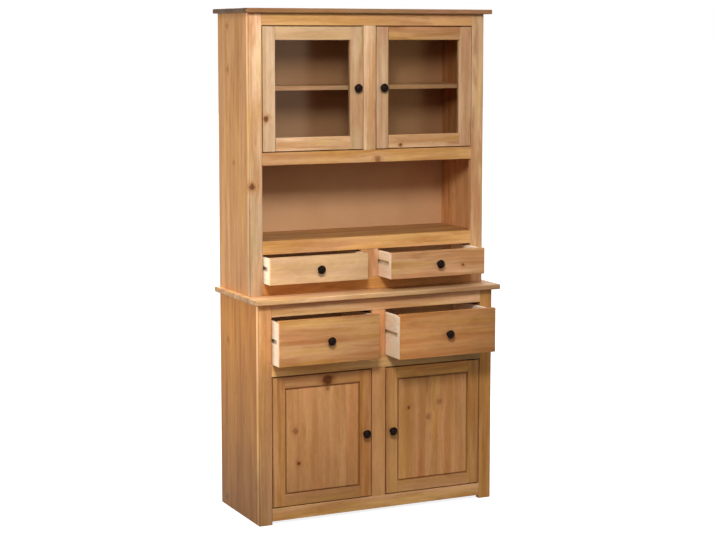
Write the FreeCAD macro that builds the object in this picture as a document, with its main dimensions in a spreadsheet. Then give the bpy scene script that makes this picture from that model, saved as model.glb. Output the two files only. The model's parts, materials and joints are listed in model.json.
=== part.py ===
"""Pine highboard: a hutch with glass doors and an open niche, standing on a base cabinet.

The frame has +X to the right, +Y to the back and +Z up, in millimetres. The origin is on the floor, under the
middle of the box that holds the whole piece with its drawers pulled out as they are at rest.
"""

import FreeCAD, Part
import Sketcher
import os
import re

# Driving dimensions, in millimetres
SIZES = {
    # Carcass of both cabinets
    "carcass_width": 900.0,
    "base_depth": 355.0,
    "hutch_setback": 73.0,
    "side_thickness": 18.0,
    "partition_thickness": 18.0,
    "frame_thickness": 20.0,
    "back_thickness": 5.0,
    "inner_board_thickness": 15.0,
    "shelf_setback": 22.0,
    # Heights of the base, from the floor up
    "foot_gap": 12.0,
    "base_bottom_rail_height": 44.0,
    "panel_door_opening_height": 456.0,
    "base_middle_rail_height": 41.0,
    "lower_drawer_opening_height": 163.0,
    "base_top_rail_height": 45.0,
    "base_top_thickness": 18.0,
    "base_shelf_rise": 205.0,
    # Heights of the hutch, from the base top up
    "hutch_bottom_rail_height": 41.0,
    "upper_drawer_opening_height": 99.0,
    "niche_rail_height": 45.0,
    "niche_height": 258.0,
    "cabinet_rail_height": 43.0,
    "glass_door_opening_height": 427.0,
    "hutch_top_rail_height": 41.0,
    "hutch_top_thickness": 16.0,
    "cabinet_shelf_rise": 207.0,
    # Widths of the face frames
    "base_stile_width": 48.0,
    "base_mullion_width": 51.0,
    "hutch_stile_width": 48.0,
    "cabinet_mullion_width": 46.0,
    "upper_mullion_width": 66.0,
    # Top boards
    "base_top_side_overhang": 20.0,
    "base_top_front_overhang": 26.0,
    "hutch_top_side_overhang": 18.0,
    "hutch_top_front_overhang": 29.0,
    "top_edge_radius": 4.0,
    # Doors
    "door_gap": 3.5,
    "door_thickness": 20.0,
    "glass_stile_width": 46.0,
    "glass_rail_width": 46.0,
    "panel_stile_width": 44.0,
    "panel_rail_width": 40.0,
    "rebate_width": 9.0,
    "rebate_lip": 8.0,
    "pane_thickness": 4.0,
    "pane_edge_gap": 1.0,
    "panel_groove_depth": 8.0,
    "panel_groove_lip": 6.0,
    "panel_tongue_thickness": 7.0,
    "panel_edge_gap": 1.0,
    "panel_reveal": 5.0,
    "panel_front_recess": 1.0,
    "panel_back_recess": 3.0,
    # Door pivots
    "pivot_inset": 10.0,
    "pivot_setback": 6.0,
    "pivot_radius": 2.5,
    "pivot_clearance": 0.05,
    "pivot_depth_in_door": 15.0,
    "pivot_end_gap": 1.0,
    "bush_radius": 4.0,
    "bush_length": 12.0,
    # Drawers
    "drawer_gap": 2.0,
    "drawer_head_gap": 5.0,
    "drawer_front_thickness": 20.0,
    "drawer_front_lip": 8.0,
    "drawer_side_thickness": 12.0,
    "drawer_back_thickness": 12.0,
    "drawer_bottom_thickness": 4.0,
    "drawer_bottom_rise": 9.0,
    "drawer_bottom_groove_depth": 5.0,
    "drawer_bottom_edge_gap": 0.5,
    "lower_drawer_rear_gap": 50.0,
    "upper_drawer_rear_gap": 37.0,
    "lower_side_drop": 8.0,
    "upper_side_drop": 3.0,
    # Drawer runners, and the grooves that slide on them
    "groove_depth": 7.0,
    "groove_height": 14.0,
    "groove_start": 26.0,
    "lower_groove_rise": 82.0,
    "upper_groove_rise": 52.0,
    "runner_clearance": 0.3,
    "runner_side_gap": 0.8,
    "runner_stop_gap": 1.0,
    # How far each drawer stands open at rest
    "lower_left_opening": 65.0,
    "lower_right_opening": 114.0,
    "upper_left_opening": 62.0,
    "upper_right_opening": 106.0,
    # Knobs and the screws that hold them
    "knob_radius": 15.0,
    "knob_length": 26.0,
    "knob_rim_length": 16.0,
    "knob_neck_radius": 6.5,
    "knob_neck_length": 10.0,
    "knob_rose_radius": 9.0,
    "knob_rose_thickness": 3.0,
    "screw_radius": 2.0,
    "screw_depth_in_knob": 14.0,
    "screw_head_radius": 4.0,
    "screw_head_thickness": 2.5,
    # One overrun for every cut
    "overrun": 2.0,
}

# Places worked out from the driving dimensions
PLACES = {
    "reach": "max(max(lower_left_opening; lower_right_opening);"
    " max(upper_left_opening; upper_right_opening) - hutch_setback)",
    "front": "(reach + knob_length - base_depth) / 2",
    "back": "front + base_depth",
    "back_face": "back - back_thickness",
    "hutch_front": "front + hutch_setback",
    "base_inside": "front + frame_thickness",
    "hutch_inside": "hutch_front + frame_thickness",
    "half_width": "carcass_width / 2",
    "inner_half": "half_width - side_thickness",
    "partition_half": "partition_thickness / 2",
    "base_half": "half_width - base_stile_width",
    "hutch_half": "half_width - hutch_stile_width",
    "door_bay_floor": "foot_gap + base_bottom_rail_height",
    "door_bay_head": "door_bay_floor + panel_door_opening_height",
    "lower_drawer_floor": "door_bay_head + base_middle_rail_height",
    "lower_drawer_head": "lower_drawer_floor + lower_drawer_opening_height",
    "base_top_under": "lower_drawer_head + base_top_rail_height",
    "base_top_upper": "base_top_under + base_top_thickness",
    "upper_drawer_floor": "base_top_upper + hutch_bottom_rail_height",
    "upper_drawer_head": "upper_drawer_floor + upper_drawer_opening_height",
    "niche_floor": "upper_drawer_head + niche_rail_height",
    "niche_head": "niche_floor + niche_height",
    "cabinet_floor": "niche_head + cabinet_rail_height",
    "cabinet_head": "cabinet_floor + glass_door_opening_height",
    "hutch_top_under": "cabinet_head + hutch_top_rail_height",
    "hutch_top_upper": "hutch_top_under + hutch_top_thickness",
    "base_board_under": "door_bay_floor - inner_board_thickness",
    "niche_board_under": "niche_floor - inner_board_thickness",
    "cabinet_board_under": "cabinet_floor - inner_board_thickness",
    "base_shelf": "door_bay_floor + base_shelf_rise",
    "cabinet_shelf": "cabinet_floor + cabinet_shelf_rise",
    "lower_drawer_length": "base_depth - back_thickness - lower_drawer_rear_gap",
    "upper_drawer_length": "base_depth - hutch_setback - back_thickness - upper_drawer_rear_gap",
    "bush_bore_radius": "pivot_radius + pivot_clearance",
    "pivot_reach": "door_gap + bush_length - pivot_end_gap",
}

# The two hands of what is made in pairs, with the sign of X
HANDS = (("left", -1), ("right", 1))

doc = FreeCAD.newDocument("highboard")
sheet = doc.addObject("Spreadsheet::Sheet", "Sizes")
nodes = []


def fill_sheet():
    """Write every driving dimension into the spreadsheet and give its cell an alias."""
    for row, (alias, value) in enumerate(SIZES.items(), start=1):
        sheet.set(f"A{row}", alias)
        sheet.set(f"B{row}", str(value))
        sheet.setAlias(f"B{row}", alias)
    doc.recompute()


def formula(rule):
    """Turn a rule written in size and place names into an expression on the spreadsheet."""

    def word(found):
        name = found.group(0)
        if name in PLACES:
            return f"({formula(PLACES[name])})"
        return f"Sizes.{name}" if name in SIZES else name

    return re.sub(r"[a-z_]+", word, rule)


def bind(item, **rules):
    """Bind properties of a document object to rules; x, y and z are its place."""
    for name, rule in rules.items():
        path = f"Placement.Base.{name}" if name in ("x", "y", "z") else name
        item.setExpression(path, formula(rule))


def board(name, x, y, z):
    """Make a straight-edged board from its low and high rule along each axis."""
    item = doc.addObject("Part::Box", name)
    bind(item, x=x[0], y=y[0], z=z[0])
    for side, (low, high) in (("Length", x), ("Width", y), ("Height", z)):
        bind(item, **{side: f"({high}) - ({low})"})
    return item


def upright_rod(name, x, y, z, radius):
    """Make a vertical round rod between two heights."""
    item = doc.addObject("Part::Cylinder", name)
    bind(item, x=x, y=y, z=z[0], Radius=radius, Height=f"({z[1]}) - ({z[0]})")
    return item


def level_rod(name, x, y, z, radius):
    """Make a round rod along Y between two depths."""
    item = doc.addObject("Part::Cylinder", name)
    item.Placement.Rotation = FreeCAD.Rotation(FreeCAD.Vector(1, 0, 0), 90)
    bind(item, x=x, y=y[1], z=z, Radius=radius, Height=f"({y[1]}) - ({y[0]})")
    return item


def group(name, pieces):
    """Hold separate solids together as one object."""
    item = doc.addObject("Part::Compound", name)
    item.Links = pieces
    return item


def cut(name, base, tools):
    """Cut tools out of a base."""
    item = doc.addObject("Part::Cut", name)
    item.Base = base
    item.Tool = group(f"{name}_tools", tools)
    return item


def fuse(name, base, tool):
    """Join two overlapping or touching shapes into one solid."""
    item = doc.addObject("Part::Fuse", name)
    item.Base = base
    item.Tool = tool
    item.Refine = True
    return item


def node(name, pieces):
    """Name a sub-part of the highboard and keep it for export."""
    item = pieces[0] if len(pieces) == 1 else group(f"{name}_group", pieces)
    item.Label = name
    nodes.append(item)
    return item


def sided(side, low, high):
    """Give the low and high X rules on the right (side 1), or mirrored on the left (side -1)."""
    return (low, high) if side > 0 else (f"-({high})", f"-({low})")


def mirrored_pair(name, low, high, y, z):
    """Make one board on the left and its mirror image on the right."""
    return [board(f"{name}_{hand}", sided(side, low, high), y, z) for hand, side in HANDS]


def grown(span, amount):
    """Widen a low and high rule by an amount at both ends."""
    return (f"{span[0]} - ({amount})", f"{span[1]} + ({amount})")


def shrunk(span, amount):
    """Narrow a low and high rule by an amount at both ends."""
    return (f"{span[0]} + ({amount})", f"{span[1]} - ({amount})")


def plane(body, role):
    """Find one of a body's own origin planes."""
    return next(item for item in body.Origin.OriginFeatures if item.Role == role)


def sketch_in(body, name):
    """Start a sketch on a body's own XY plane."""
    sketch = body.newObject("Sketcher::SketchObject", name)
    sketch.AttachmentSupport = [(plane(body, "XY_Plane"), "")]
    sketch.MapMode = "FlatFace"
    return sketch


def top_board(name, half, y, z):
    """Make a top board, rounded along its front and its two ends."""
    body = doc.addObject("PartDesign::Body", name)
    sketch = sketch_in(body, f"{name}_outline")
    corners = [FreeCAD.Vector(*corner, 0) for corner in ((0, 0), (1, 0), (1, 1), (0, 1))]
    for start, end in zip(corners, corners[1:] + corners[:1]):
        sketch.addGeometry(Part.LineSegment(start, end))
    for line in range(4):
        sketch.addConstraint(Sketcher.Constraint("Coincident", line, 2, (line + 1) % 4, 1))
        sketch.addConstraint(Sketcher.Constraint("Vertical" if line % 2 else "Horizontal", line))
    sketch.addConstraint(Sketcher.Constraint("Coincident", 0, 1, -1, 1))
    width = sketch.addConstraint(Sketcher.Constraint("DistanceX", 0, 1, 0, 2, 1))
    depth = sketch.addConstraint(Sketcher.Constraint("DistanceY", 1, 1, 1, 2, 1))
    sketch.renameConstraint(width, "width")
    sketch.renameConstraint(depth, "depth")
    bind(sketch, **{"Constraints.width": f"2 * ({half})", "Constraints.depth": f"({y[1]}) - ({y[0]})"})
    pad = body.newObject("PartDesign::Pad", f"{name}_pad")
    pad.Profile = sketch
    bind(pad, Length=f"({z[1]}) - ({z[0]})")
    bind(body, x=f"-({half})", y=y[0], z=z[0])
    doc.recompute()
    far = pad.Shape.BoundBox.YMax
    rounding = body.newObject("PartDesign::Fillet", f"{name}_rounding")
    ahead = [far - edge.CenterOfMass.y > SIZES["top_edge_radius"] for edge in pad.Shape.Edges]
    rounding.Base = (pad, [f"Edge{i}" for i, rounded in enumerate(ahead, start=1) if rounded])
    bind(rounding, Radius="top_edge_radius")
    return body


def knob(name, x, face, z, thickness):
    """Make a turned mushroom knob on a face that looks to the front, with its screw through the board.

    The sketch's X is the radius and its Y runs outwards, and the body is turned to point to the front.
    """
    body = doc.addObject("PartDesign::Body", f"{name}_turned")
    sketch = sketch_in(body, f"{name}_profile")
    points = [
        ("screw_radius", "0"),
        ("knob_rose_radius", "0"),
        ("knob_rose_radius", "knob_rose_thickness"),
        ("knob_neck_radius", "knob_rose_thickness"),
        ("knob_neck_radius", "knob_neck_length"),
        ("knob_radius", "knob_rim_length"),
        ("0", "knob_length"),
        ("0", "screw_depth_in_knob"),
        ("screw_radius", "screw_depth_in_knob"),
    ]
    places = [FreeCAD.Vector(SIZES.get(across, 0.0), SIZES.get(out, 0.0), 0) for across, out in points]
    count = len(places)
    rim = points.index(("knob_radius", "knob_rim_length"))
    for i in range(count):
        start, end = places[i], places[(i + 1) % count]
        if i == rim:
            rise = end.y - start.y
            centre = FreeCAD.Vector(0, end.y - (start.x**2 + rise**2) / (2 * rise), 0)
            sweep = Part.Circle(centre, FreeCAD.Vector(0, 0, 1), end.y - centre.y)
            sketch.addGeometry(Part.ArcOfCircle(sweep, sweep.parameter(start), sweep.parameter(end)))
        else:
            sketch.addGeometry(Part.LineSegment(start, end))
    for i in range(count):
        sketch.addConstraint(Sketcher.Constraint("Coincident", i, 2, (i + 1) % count, 1))
    sketch.addConstraint(Sketcher.Constraint("PointOnObject", rim, 3, -2))
    for i, (across, out) in enumerate(points):
        for kind, rule, axis in (("DistanceX", across, -2), ("DistanceY", out, -1)):
            if rule == "0":
                sketch.addConstraint(Sketcher.Constraint("PointOnObject", i, 1, axis))
                continue
            label = f"{kind}_{i}"
            made = sketch.addConstraint(Sketcher.Constraint(kind, -1, 1, i, 1, SIZES[rule]))
            sketch.renameConstraint(made, label)
            bind(sketch, **{f"Constraints.{label}": rule})
    turned = body.newObject("PartDesign::Revolution", f"{name}_revolution")
    turned.Profile = sketch
    turned.ReferenceAxis = (sketch, ["V_Axis"])
    turned.Angle = 360
    body.Placement.Rotation = FreeCAD.Rotation(FreeCAD.Vector(0, 0, 1), 180)
    bind(body, x=x, y=face, z=z)
    inside = f"{face} + {thickness}"
    shank = level_rod(f"{name}_shank", x, (f"{face} - screw_depth_in_knob", inside), z, "screw_radius")
    head = level_rod(f"{name}_head", x, (inside, f"{inside} + screw_head_thickness"), z, "screw_head_radius")
    node(name, [body, fuse(f"{name}_screw", shank, head)])


def carcass_sides(name, inside, z):
    """Make the two side panels of a cabinet, as separate sub-parts."""
    for hand, side in HANDS:
        panel = board(f"{name}_{hand}", sided(side, "inner_half", "half_width"), (inside, "back"), z)
        node(f"{name}_{hand}", [panel])


def pivot_place(side, half, face):
    """Give the X and Y rules of a door's pivot."""
    across = f"{half} - door_gap - pivot_inset"
    return across if side > 0 else f"-({across})", f"{face} + pivot_setback"


def drilled_rail(name, x, y, z, half, face, seat):
    """Make a rail with a blind hole for a pivot bush at each end; seat is the hole's low and high rule."""
    holes = []
    for hand, side in HANDS:
        across, along = pivot_place(side, half, face)
        holes.append(upright_rod(f"{name}_hole_{hand}", across, along, seat, "bush_radius"))
    return cut(name, board(f"{name}_board", x, y, z), holes)


def pivot_bushes(name, half, face, span):
    """Make the four bushes of one pair of doors."""
    bushes = []
    seats = {"low": (f"{span[0]} - bush_length", span[0]), "high": (span[1], f"{span[1]} + bush_length")}
    for end, z in seats.items():
        for hand, side in HANDS:
            label = f"{name}_{end}_{hand}"
            across, along = pivot_place(side, half, face)
            sleeve = upright_rod(f"{label}_sleeve", across, along, z, "bush_radius")
            bore = upright_rod(f"{label}_bore", across, along, grown(z, "overrun"), "bush_bore_radius")
            bushes.append(cut(label, sleeve, [bore]))
    return bushes


def base_cabinet():
    """Make the fixed pieces of the base."""
    upright = ("0", "base_top_under")
    face = ("front", "base_inside")
    across = ("-base_half", "base_half")
    deep = ("base_inside", "back_face")
    carcass_sides("base_side", "base_inside", upright)
    node("base_stiles", mirrored_pair("base_stile", "base_half", "half_width", face, upright))
    floor_seat = ("door_bay_floor - bush_length", "door_bay_floor + overrun")
    head_seat = ("door_bay_head - overrun", "door_bay_head + bush_length")
    bottom = ("foot_gap", "door_bay_floor")
    middle = ("door_bay_head", "lower_drawer_floor")
    node("base_rails", [
        drilled_rail("base_bottom_rail", across, face, bottom, "base_half", "front", floor_seat),
        drilled_rail("base_middle_rail", across, face, middle, "base_half", "front", head_seat),
        board("base_top_rail", across, face, ("lower_drawer_head", "base_top_under")),
    ])
    half = "base_mullion_width / 2"
    node("base_mullions", [
        board("base_door_mullion", (f"-{half}", half), face, ("door_bay_floor", "door_bay_head")),
        board("base_drawer_mullion", (f"-{half}", half), face, ("lower_drawer_floor", "lower_drawer_head")),
    ])
    split = ("-partition_half", "partition_half")
    node("base_partition", [board("base_partition", split, deep, ("door_bay_floor", "base_top_under"))])
    between = ("-inner_half", "inner_half")
    under_bay = ("base_board_under", "door_bay_floor")
    node("base_bottom_board", [board("base_bottom_board", between, deep, under_bay)])
    shelf_deep = ("base_inside + shelf_setback", "back_face")
    shelf = ("base_shelf", "base_shelf + inner_board_thickness")
    node("base_shelves", mirrored_pair("base_shelf", "partition_half", "inner_half", shelf_deep, shelf))
    closing = ("base_board_under", "base_top_under")
    node("base_back_panel", [board("base_back_panel", between, ("back_face", "back"), closing)])
    top = top_board(
        "base_top_board",
        "half_width + base_top_side_overhang",
        ("front - base_top_front_overhang", "back"),
        ("base_top_under", "base_top_upper"),
    )
    node("base_top_board", [top])


def hutch_cabinet():
    """Make the fixed pieces of the hutch."""
    upright = ("base_top_upper", "hutch_top_under")
    face = ("hutch_front", "hutch_inside")
    across = ("-hutch_half", "hutch_half")
    deep = ("hutch_inside", "back_face")
    carcass_sides("hutch_side", "hutch_inside", upright)
    node("hutch_stiles", mirrored_pair("hutch_stile", "hutch_half", "half_width", face, upright))
    floor_seat = ("cabinet_floor - bush_length", "cabinet_floor + overrun")
    head_seat = ("cabinet_head - overrun", "cabinet_head + bush_length")
    under_doors = ("niche_head", "cabinet_floor")
    over_doors = ("cabinet_head", "hutch_top_under")
    doors = ("hutch_half", "hutch_front")
    node("hutch_rails", [
        board("hutch_bottom_rail", across, face, ("base_top_upper", "upper_drawer_floor")),
        board("hutch_niche_rail", across, face, ("upper_drawer_head", "niche_floor")),
        drilled_rail("hutch_cabinet_rail", across, face, under_doors, *doors, floor_seat),
        drilled_rail("hutch_top_rail", across, face, over_doors, *doors, head_seat),
    ])
    wide, slim = "upper_mullion_width / 2", "cabinet_mullion_width / 2"
    node("hutch_mullions", [
        board("hutch_drawer_mullion", (f"-{wide}", wide), face, ("upper_drawer_floor", "upper_drawer_head")),
        board("hutch_door_mullion", (f"-{slim}", slim), face, ("cabinet_floor", "cabinet_head")),
    ])
    split = ("-partition_half", "partition_half")
    node("hutch_partition", [board("hutch_partition", split, deep, ("base_top_upper", "niche_board_under"))])
    between = ("-inner_half", "inner_half")
    under_niche = ("niche_board_under", "niche_floor")
    node("hutch_niche_shelf", [board("hutch_niche_shelf", between, deep, under_niche)])
    under_cabinet = ("cabinet_board_under", "cabinet_floor")
    node("hutch_cabinet_floor", [board("hutch_cabinet_floor", between, deep, under_cabinet)])
    shelf_deep = ("hutch_inside + shelf_setback", "back_face")
    shelf = ("cabinet_shelf", "cabinet_shelf + inner_board_thickness")
    node("hutch_shelf", [board("hutch_shelf", between, shelf_deep, shelf)])
    node("hutch_back_panel", [board("hutch_back_panel", between, ("back_face", "back"), upright)])
    top = top_board(
        "hutch_top_board",
        "half_width + hutch_top_side_overhang",
        ("hutch_front - hutch_top_front_overhang", "back"),
        ("hutch_top_under", "hutch_top_upper"),
    )
    node("hutch_top_board", [top])


def runners(name, tier, face, half, mullion):
    """Make the four strips that a pair of drawers slides on, fixed to the side panels and the partition."""
    low = f"{tier}_drawer_floor + drawer_gap + {tier}_groove_rise - groove_height / 2"
    z = shrunk((low, f"{low} + groove_height"), "runner_clearance")
    y = (f"{face} + groove_start + runner_stop_gap", f"{face} + {tier}_drawer_length")
    reach = "groove_depth - runner_side_gap"
    outer = (f"{half} - drawer_gap - ({reach})", "inner_half")
    inner = ("partition_half", f"{mullion} / 2 + drawer_gap + {reach}")
    node(name, mirrored_pair(f"{name}_outer", *outer, y, z) + mirrored_pair(f"{name}_inner", *inner, y, z))


def door_frame(name, x, y, z, stile, rail, tools):
    """Make a door's two stiles and two rails, each cut by the same tools."""
    between = shrunk(x, stile)
    members = {
        "stile_left": board(f"{name}_stile_left_board", (x[0], f"{x[0]} + {stile}"), y, z),
        "stile_right": board(f"{name}_stile_right_board", (f"{x[1]} - {stile}", x[1]), y, z),
        "rail_low": board(f"{name}_rail_low_board", between, y, (z[0], f"{z[0]} + {rail}")),
        "rail_high": board(f"{name}_rail_high_board", between, y, (f"{z[1]} - {rail}", z[1])),
    }
    return [cut(f"{name}_{member}", item, tools) for member, item in members.items()]


def door_pins(name, side, half, face, z):
    """Make a door's two pivot pins and return the holes that they sit in."""
    across, along = pivot_place(side, half, face)
    low = (f"{z[0]} - pivot_reach", f"{z[0]} + pivot_depth_in_door")
    high = (f"{z[1]} - pivot_depth_in_door", f"{z[1]} + pivot_reach")
    spans = (("low", low), ("high", high))
    node(name, [upright_rod(f"{name}_{end}", across, along, span, "pivot_radius") for end, span in spans])
    return [upright_rod(f"{name}_{end}_hole", across, along, span, "pivot_radius") for end, span in spans]


def door(name, side, bay, face, half, mullion, stile):
    """Make what the glass and panel doors share; return the door's spans and the holes in its frame."""
    x = sided(side, f"{mullion} / 2 + door_gap", f"{half} - door_gap")
    y = (face, f"{face} + door_thickness")
    z = shrunk(bay, "door_gap")
    holes = door_pins(f"{name}_pins", side, half, face, z)
    grip = f"{x[1]} - {stile} / 2" if side < 0 else f"{x[0]} + {stile} / 2"
    middle = f"({z[0]} + {z[1]}) / 2"
    knob(f"{name}_knob", grip, face, middle, "door_thickness")
    holes.append(level_rod(f"{name}_knob_hole", grip, grown(y, "overrun"), middle, "screw_radius"))
    return x, y, z, holes


def glass_door(name, side):
    """Make one glazed door: a rebated frame, the pane in it and the beads behind the pane."""
    stile, rail = "glass_stile_width", "glass_rail_width"
    bay = ("cabinet_floor", "cabinet_head")
    half, mullion = "hutch_half", "cabinet_mullion_width"
    x, y, z, holes = door(name, side, bay, "hutch_front", half, mullion, stile)
    wide = shrunk(x, f"{stile} - rebate_width")
    tall = shrunk(z, f"{rail} - rebate_width")
    pane_front = f"{y[0]} + rebate_lip"
    pane_back = f"{pane_front} + pane_thickness"
    rebate = board(f"{name}_rebate", wide, (pane_front, f"{y[1]} + overrun"), tall)
    frame = door_frame(name, x, y, z, stile, rail, holes + [rebate])
    behind = (pane_back, y[1])
    between = shrunk(wide, "rebate_width")
    frame += [
        board(f"{name}_bead_left", (wide[0], between[0]), behind, tall),
        board(f"{name}_bead_right", (between[1], wide[1]), behind, tall),
        board(f"{name}_bead_low", between, behind, (tall[0], f"{tall[0]} + rebate_width")),
        board(f"{name}_bead_high", between, behind, (f"{tall[1]} - rebate_width", tall[1])),
    ]
    node(f"{name}_frame", frame)
    glazed = (shrunk(wide, "pane_edge_gap"), shrunk(tall, "pane_edge_gap"))
    node(f"{name}_pane", [board(f"{name}_pane", glazed[0], (pane_front, pane_back), glazed[1])])


def panel_door(name, side):
    """Make one panelled door: a grooved frame and a tongued panel with a shadow line round its field."""
    stile, rail = "panel_stile_width", "panel_rail_width"
    bay = ("door_bay_floor", "door_bay_head")
    half, mullion = "base_half", "base_mullion_width"
    x, y, z, holes = door(name, side, bay, "front", half, mullion, stile)
    wide = shrunk(x, f"{stile} - panel_groove_depth")
    tall = shrunk(z, f"{rail} - panel_groove_depth")
    slot = (f"{y[0]} + panel_groove_lip", f"{y[0]} + panel_groove_lip + panel_tongue_thickness")
    groove = board(f"{name}_groove", wide, slot, tall)
    node(f"{name}_frame", door_frame(name, x, y, z, stile, rail, holes + [groove]))
    edge = "panel_edge_gap"
    tongue = board(f"{name}_tongue", shrunk(wide, edge), slot, shrunk(tall, edge))
    field = board(
        f"{name}_field",
        shrunk(x, f"{stile} + panel_reveal"),
        (f"{y[0]} + panel_front_recess", f"{y[1]} - panel_back_recess"),
        shrunk(z, f"{rail} + panel_reveal"),
    )
    node(f"{name}_panel", [fuse(f"{name}_panel", tongue, field)])


def drawer(name, tier, side, opening, cabinet_face, half, mullion):
    """Make one drawer: a front rebated for its grooved sides, a back, a bottom in its groove and a knob."""
    x = sided(side, f"{mullion} / 2 + drawer_gap", f"{half} - drawer_gap")
    face = f"{cabinet_face} - {opening}"
    behind = f"{face} + drawer_front_thickness"
    rear = f"{face} + {tier}_drawer_length"
    low, high = f"{tier}_drawer_floor + drawer_gap", f"{tier}_drawer_head - drawer_head_gap"
    side_high = f"{high} - {tier}_side_drop"
    inside = shrunk(x, "drawer_side_thickness")
    bottom = f"{low} + drawer_bottom_rise"
    bottom_top = f"{bottom} + drawer_bottom_thickness"
    slot_wide = grown(inside, "drawer_bottom_groove_depth")
    slot_start = f"{behind} - drawer_bottom_groove_depth"
    slot_deep = (slot_start, f"{rear} + overrun")
    slot = board(f"{name}_bottom_slot", slot_wide, slot_deep, (bottom, bottom_top))
    centre = f"({x[0]} + {x[1]}) / 2"
    middle = f"({low} + {high}) / 2"
    through = grown((face, behind), "overrun")
    screw_hole = level_rod(f"{name}_screw_hole", centre, through, middle, "screw_radius")
    ends = {"left": (x[0], inside[0]), "right": (inside[1], x[1])}
    lapped = (f"{face} + drawer_front_lip", f"{behind} + overrun")
    laps = []
    for hand, span in ends.items():
        laps.append(board(f"{name}_lap_{hand}", span, lapped, (low, side_high)))
    front = board(f"{name}_front_board", x, (face, behind), (low, high))
    node(f"{name}_front", [cut(f"{name}_front", front, laps + [slot, screw_hole])])
    rise = f"{low} + {tier}_groove_rise - groove_height / 2"
    sides = []
    for hand, span in ends.items():
        outside = (x[0], f"{x[0]} + groove_depth") if hand == "left" else (f"{x[1]} - groove_depth", x[1])
        run = (f"{face} + groove_start", f"{rear} + overrun")
        groove = board(f"{name}_groove_{hand}", outside, run, (rise, f"{rise} + groove_height"))
        plain = board(f"{name}_side_{hand}_board", span, (lapped[0], rear), (low, side_high))
        sides.append(cut(f"{name}_side_{hand}", plain, [groove, slot]))
    node(f"{name}_sides", sides)
    back_deep = (f"{rear} - drawer_back_thickness", rear)
    node(f"{name}_back", [board(f"{name}_back", inside, back_deep, (bottom_top, side_high))])
    edge = "drawer_bottom_edge_gap"
    sheet_deep = (f"{slot_start} + {edge}", rear)
    sheet_wide = shrunk(slot_wide, edge)
    node(f"{name}_bottom", [board(f"{name}_bottom", sheet_wide, sheet_deep, (bottom, bottom_top))])
    knob(f"{name}_knob", centre, face, middle, "drawer_front_thickness")


def check_document():
    """Stop unless every object is up to date and every sub-part is a valid shape."""
    for item in doc.Objects:
        if {"Invalid", "Error"} & set(item.State):
            raise RuntimeError(f"{item.Name} failed: {item.State}")
    for item in nodes:
        if item.Shape.isNull() or not item.Shape.isValid() or not item.Shape.Solids:
            raise RuntimeError(f"{item.Label} has no valid shape")


def export():
    """Write each sub-part to its own STEP file."""
    os.makedirs("parts", exist_ok=True)
    for item in nodes:
        item.Shape.exportStep(f"parts/{item.Label}.step")
        print(f"{item.Label}: {len(item.Shape.Solids)} solids, {item.Shape.Volume:.0f} mm3")
    print(f"{len(nodes)} sub-parts")


fill_sheet()
base_cabinet()
hutch_cabinet()
for hand, side in HANDS:
    glass_door(f"glass_door_{hand}", side)
    panel_door(f"panel_door_{hand}", side)
    for tier, cabinet_face, half, mullion in (
        ("upper", "hutch_front", "hutch_half", "upper_mullion_width"),
        ("lower", "front", "base_half", "base_mullion_width"),
    ):
        drawer(f"{tier}_drawer_{hand}", tier, side, f"{tier}_{hand}_opening", cabinet_face, half, mullion)
runners("hutch_drawer_runners", "upper", "hutch_front", "hutch_half", "upper_mullion_width")
runners("base_drawer_runners", "lower", "front", "base_half", "base_mullion_width")
bushes = pivot_bushes("cabinet_bush", "hutch_half", "hutch_front", ("cabinet_floor", "cabinet_head"))
bushes += pivot_bushes("base_bush", "base_half", "front", ("door_bay_floor", "door_bay_head"))
node("pivot_bushes", bushes)
doc.recompute()
check_document()
export()
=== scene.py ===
"""Looks of a pine highboard: a glazed hutch with an open niche, on a base with drawers and panelled doors.

All sizes are in metres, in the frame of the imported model: +X to the right, +Y to the back and +Z up. Each
wooden piece is built board by board, and each board carries its own grain, so that no two boards look alike.
"""

from __future__ import annotations

import json
import logging
import math
import random
from collections.abc import Sequence
from dataclasses import dataclass
from enum import Enum

import bmesh
import bpy
from mathutils import Matrix, Vector

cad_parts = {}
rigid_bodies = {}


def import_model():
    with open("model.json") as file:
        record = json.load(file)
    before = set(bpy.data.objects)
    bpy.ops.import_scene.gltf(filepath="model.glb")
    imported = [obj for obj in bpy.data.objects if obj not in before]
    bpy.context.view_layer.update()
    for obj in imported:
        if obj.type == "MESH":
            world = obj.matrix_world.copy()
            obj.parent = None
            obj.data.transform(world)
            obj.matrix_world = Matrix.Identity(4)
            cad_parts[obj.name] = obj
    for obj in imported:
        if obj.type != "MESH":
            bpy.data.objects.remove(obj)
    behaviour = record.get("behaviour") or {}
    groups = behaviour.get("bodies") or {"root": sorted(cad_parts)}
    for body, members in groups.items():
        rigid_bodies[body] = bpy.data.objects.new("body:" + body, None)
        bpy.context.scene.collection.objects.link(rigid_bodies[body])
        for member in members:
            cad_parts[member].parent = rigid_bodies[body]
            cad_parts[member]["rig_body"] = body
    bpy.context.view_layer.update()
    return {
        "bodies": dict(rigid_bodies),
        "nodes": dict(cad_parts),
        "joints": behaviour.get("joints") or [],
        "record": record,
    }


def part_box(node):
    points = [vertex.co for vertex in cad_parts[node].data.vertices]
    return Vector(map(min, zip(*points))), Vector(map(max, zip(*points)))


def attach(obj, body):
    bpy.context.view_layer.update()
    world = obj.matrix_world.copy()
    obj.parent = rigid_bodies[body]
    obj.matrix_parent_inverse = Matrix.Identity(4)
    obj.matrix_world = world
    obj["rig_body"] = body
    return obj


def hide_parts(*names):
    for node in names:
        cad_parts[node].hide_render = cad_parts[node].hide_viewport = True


LOG = logging.getLogger("highboard")

# Closest that two points can be without being the same point
WELD = 1e-5
# Faces that meet at less than the first angle are one rounded surface, and at less than the second one flat
SHARP, FLAT = math.radians(40.0), math.radians(1.0)
# How far a face's normal agrees with a direction when the face looks that way
FACING = 0.9
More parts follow.
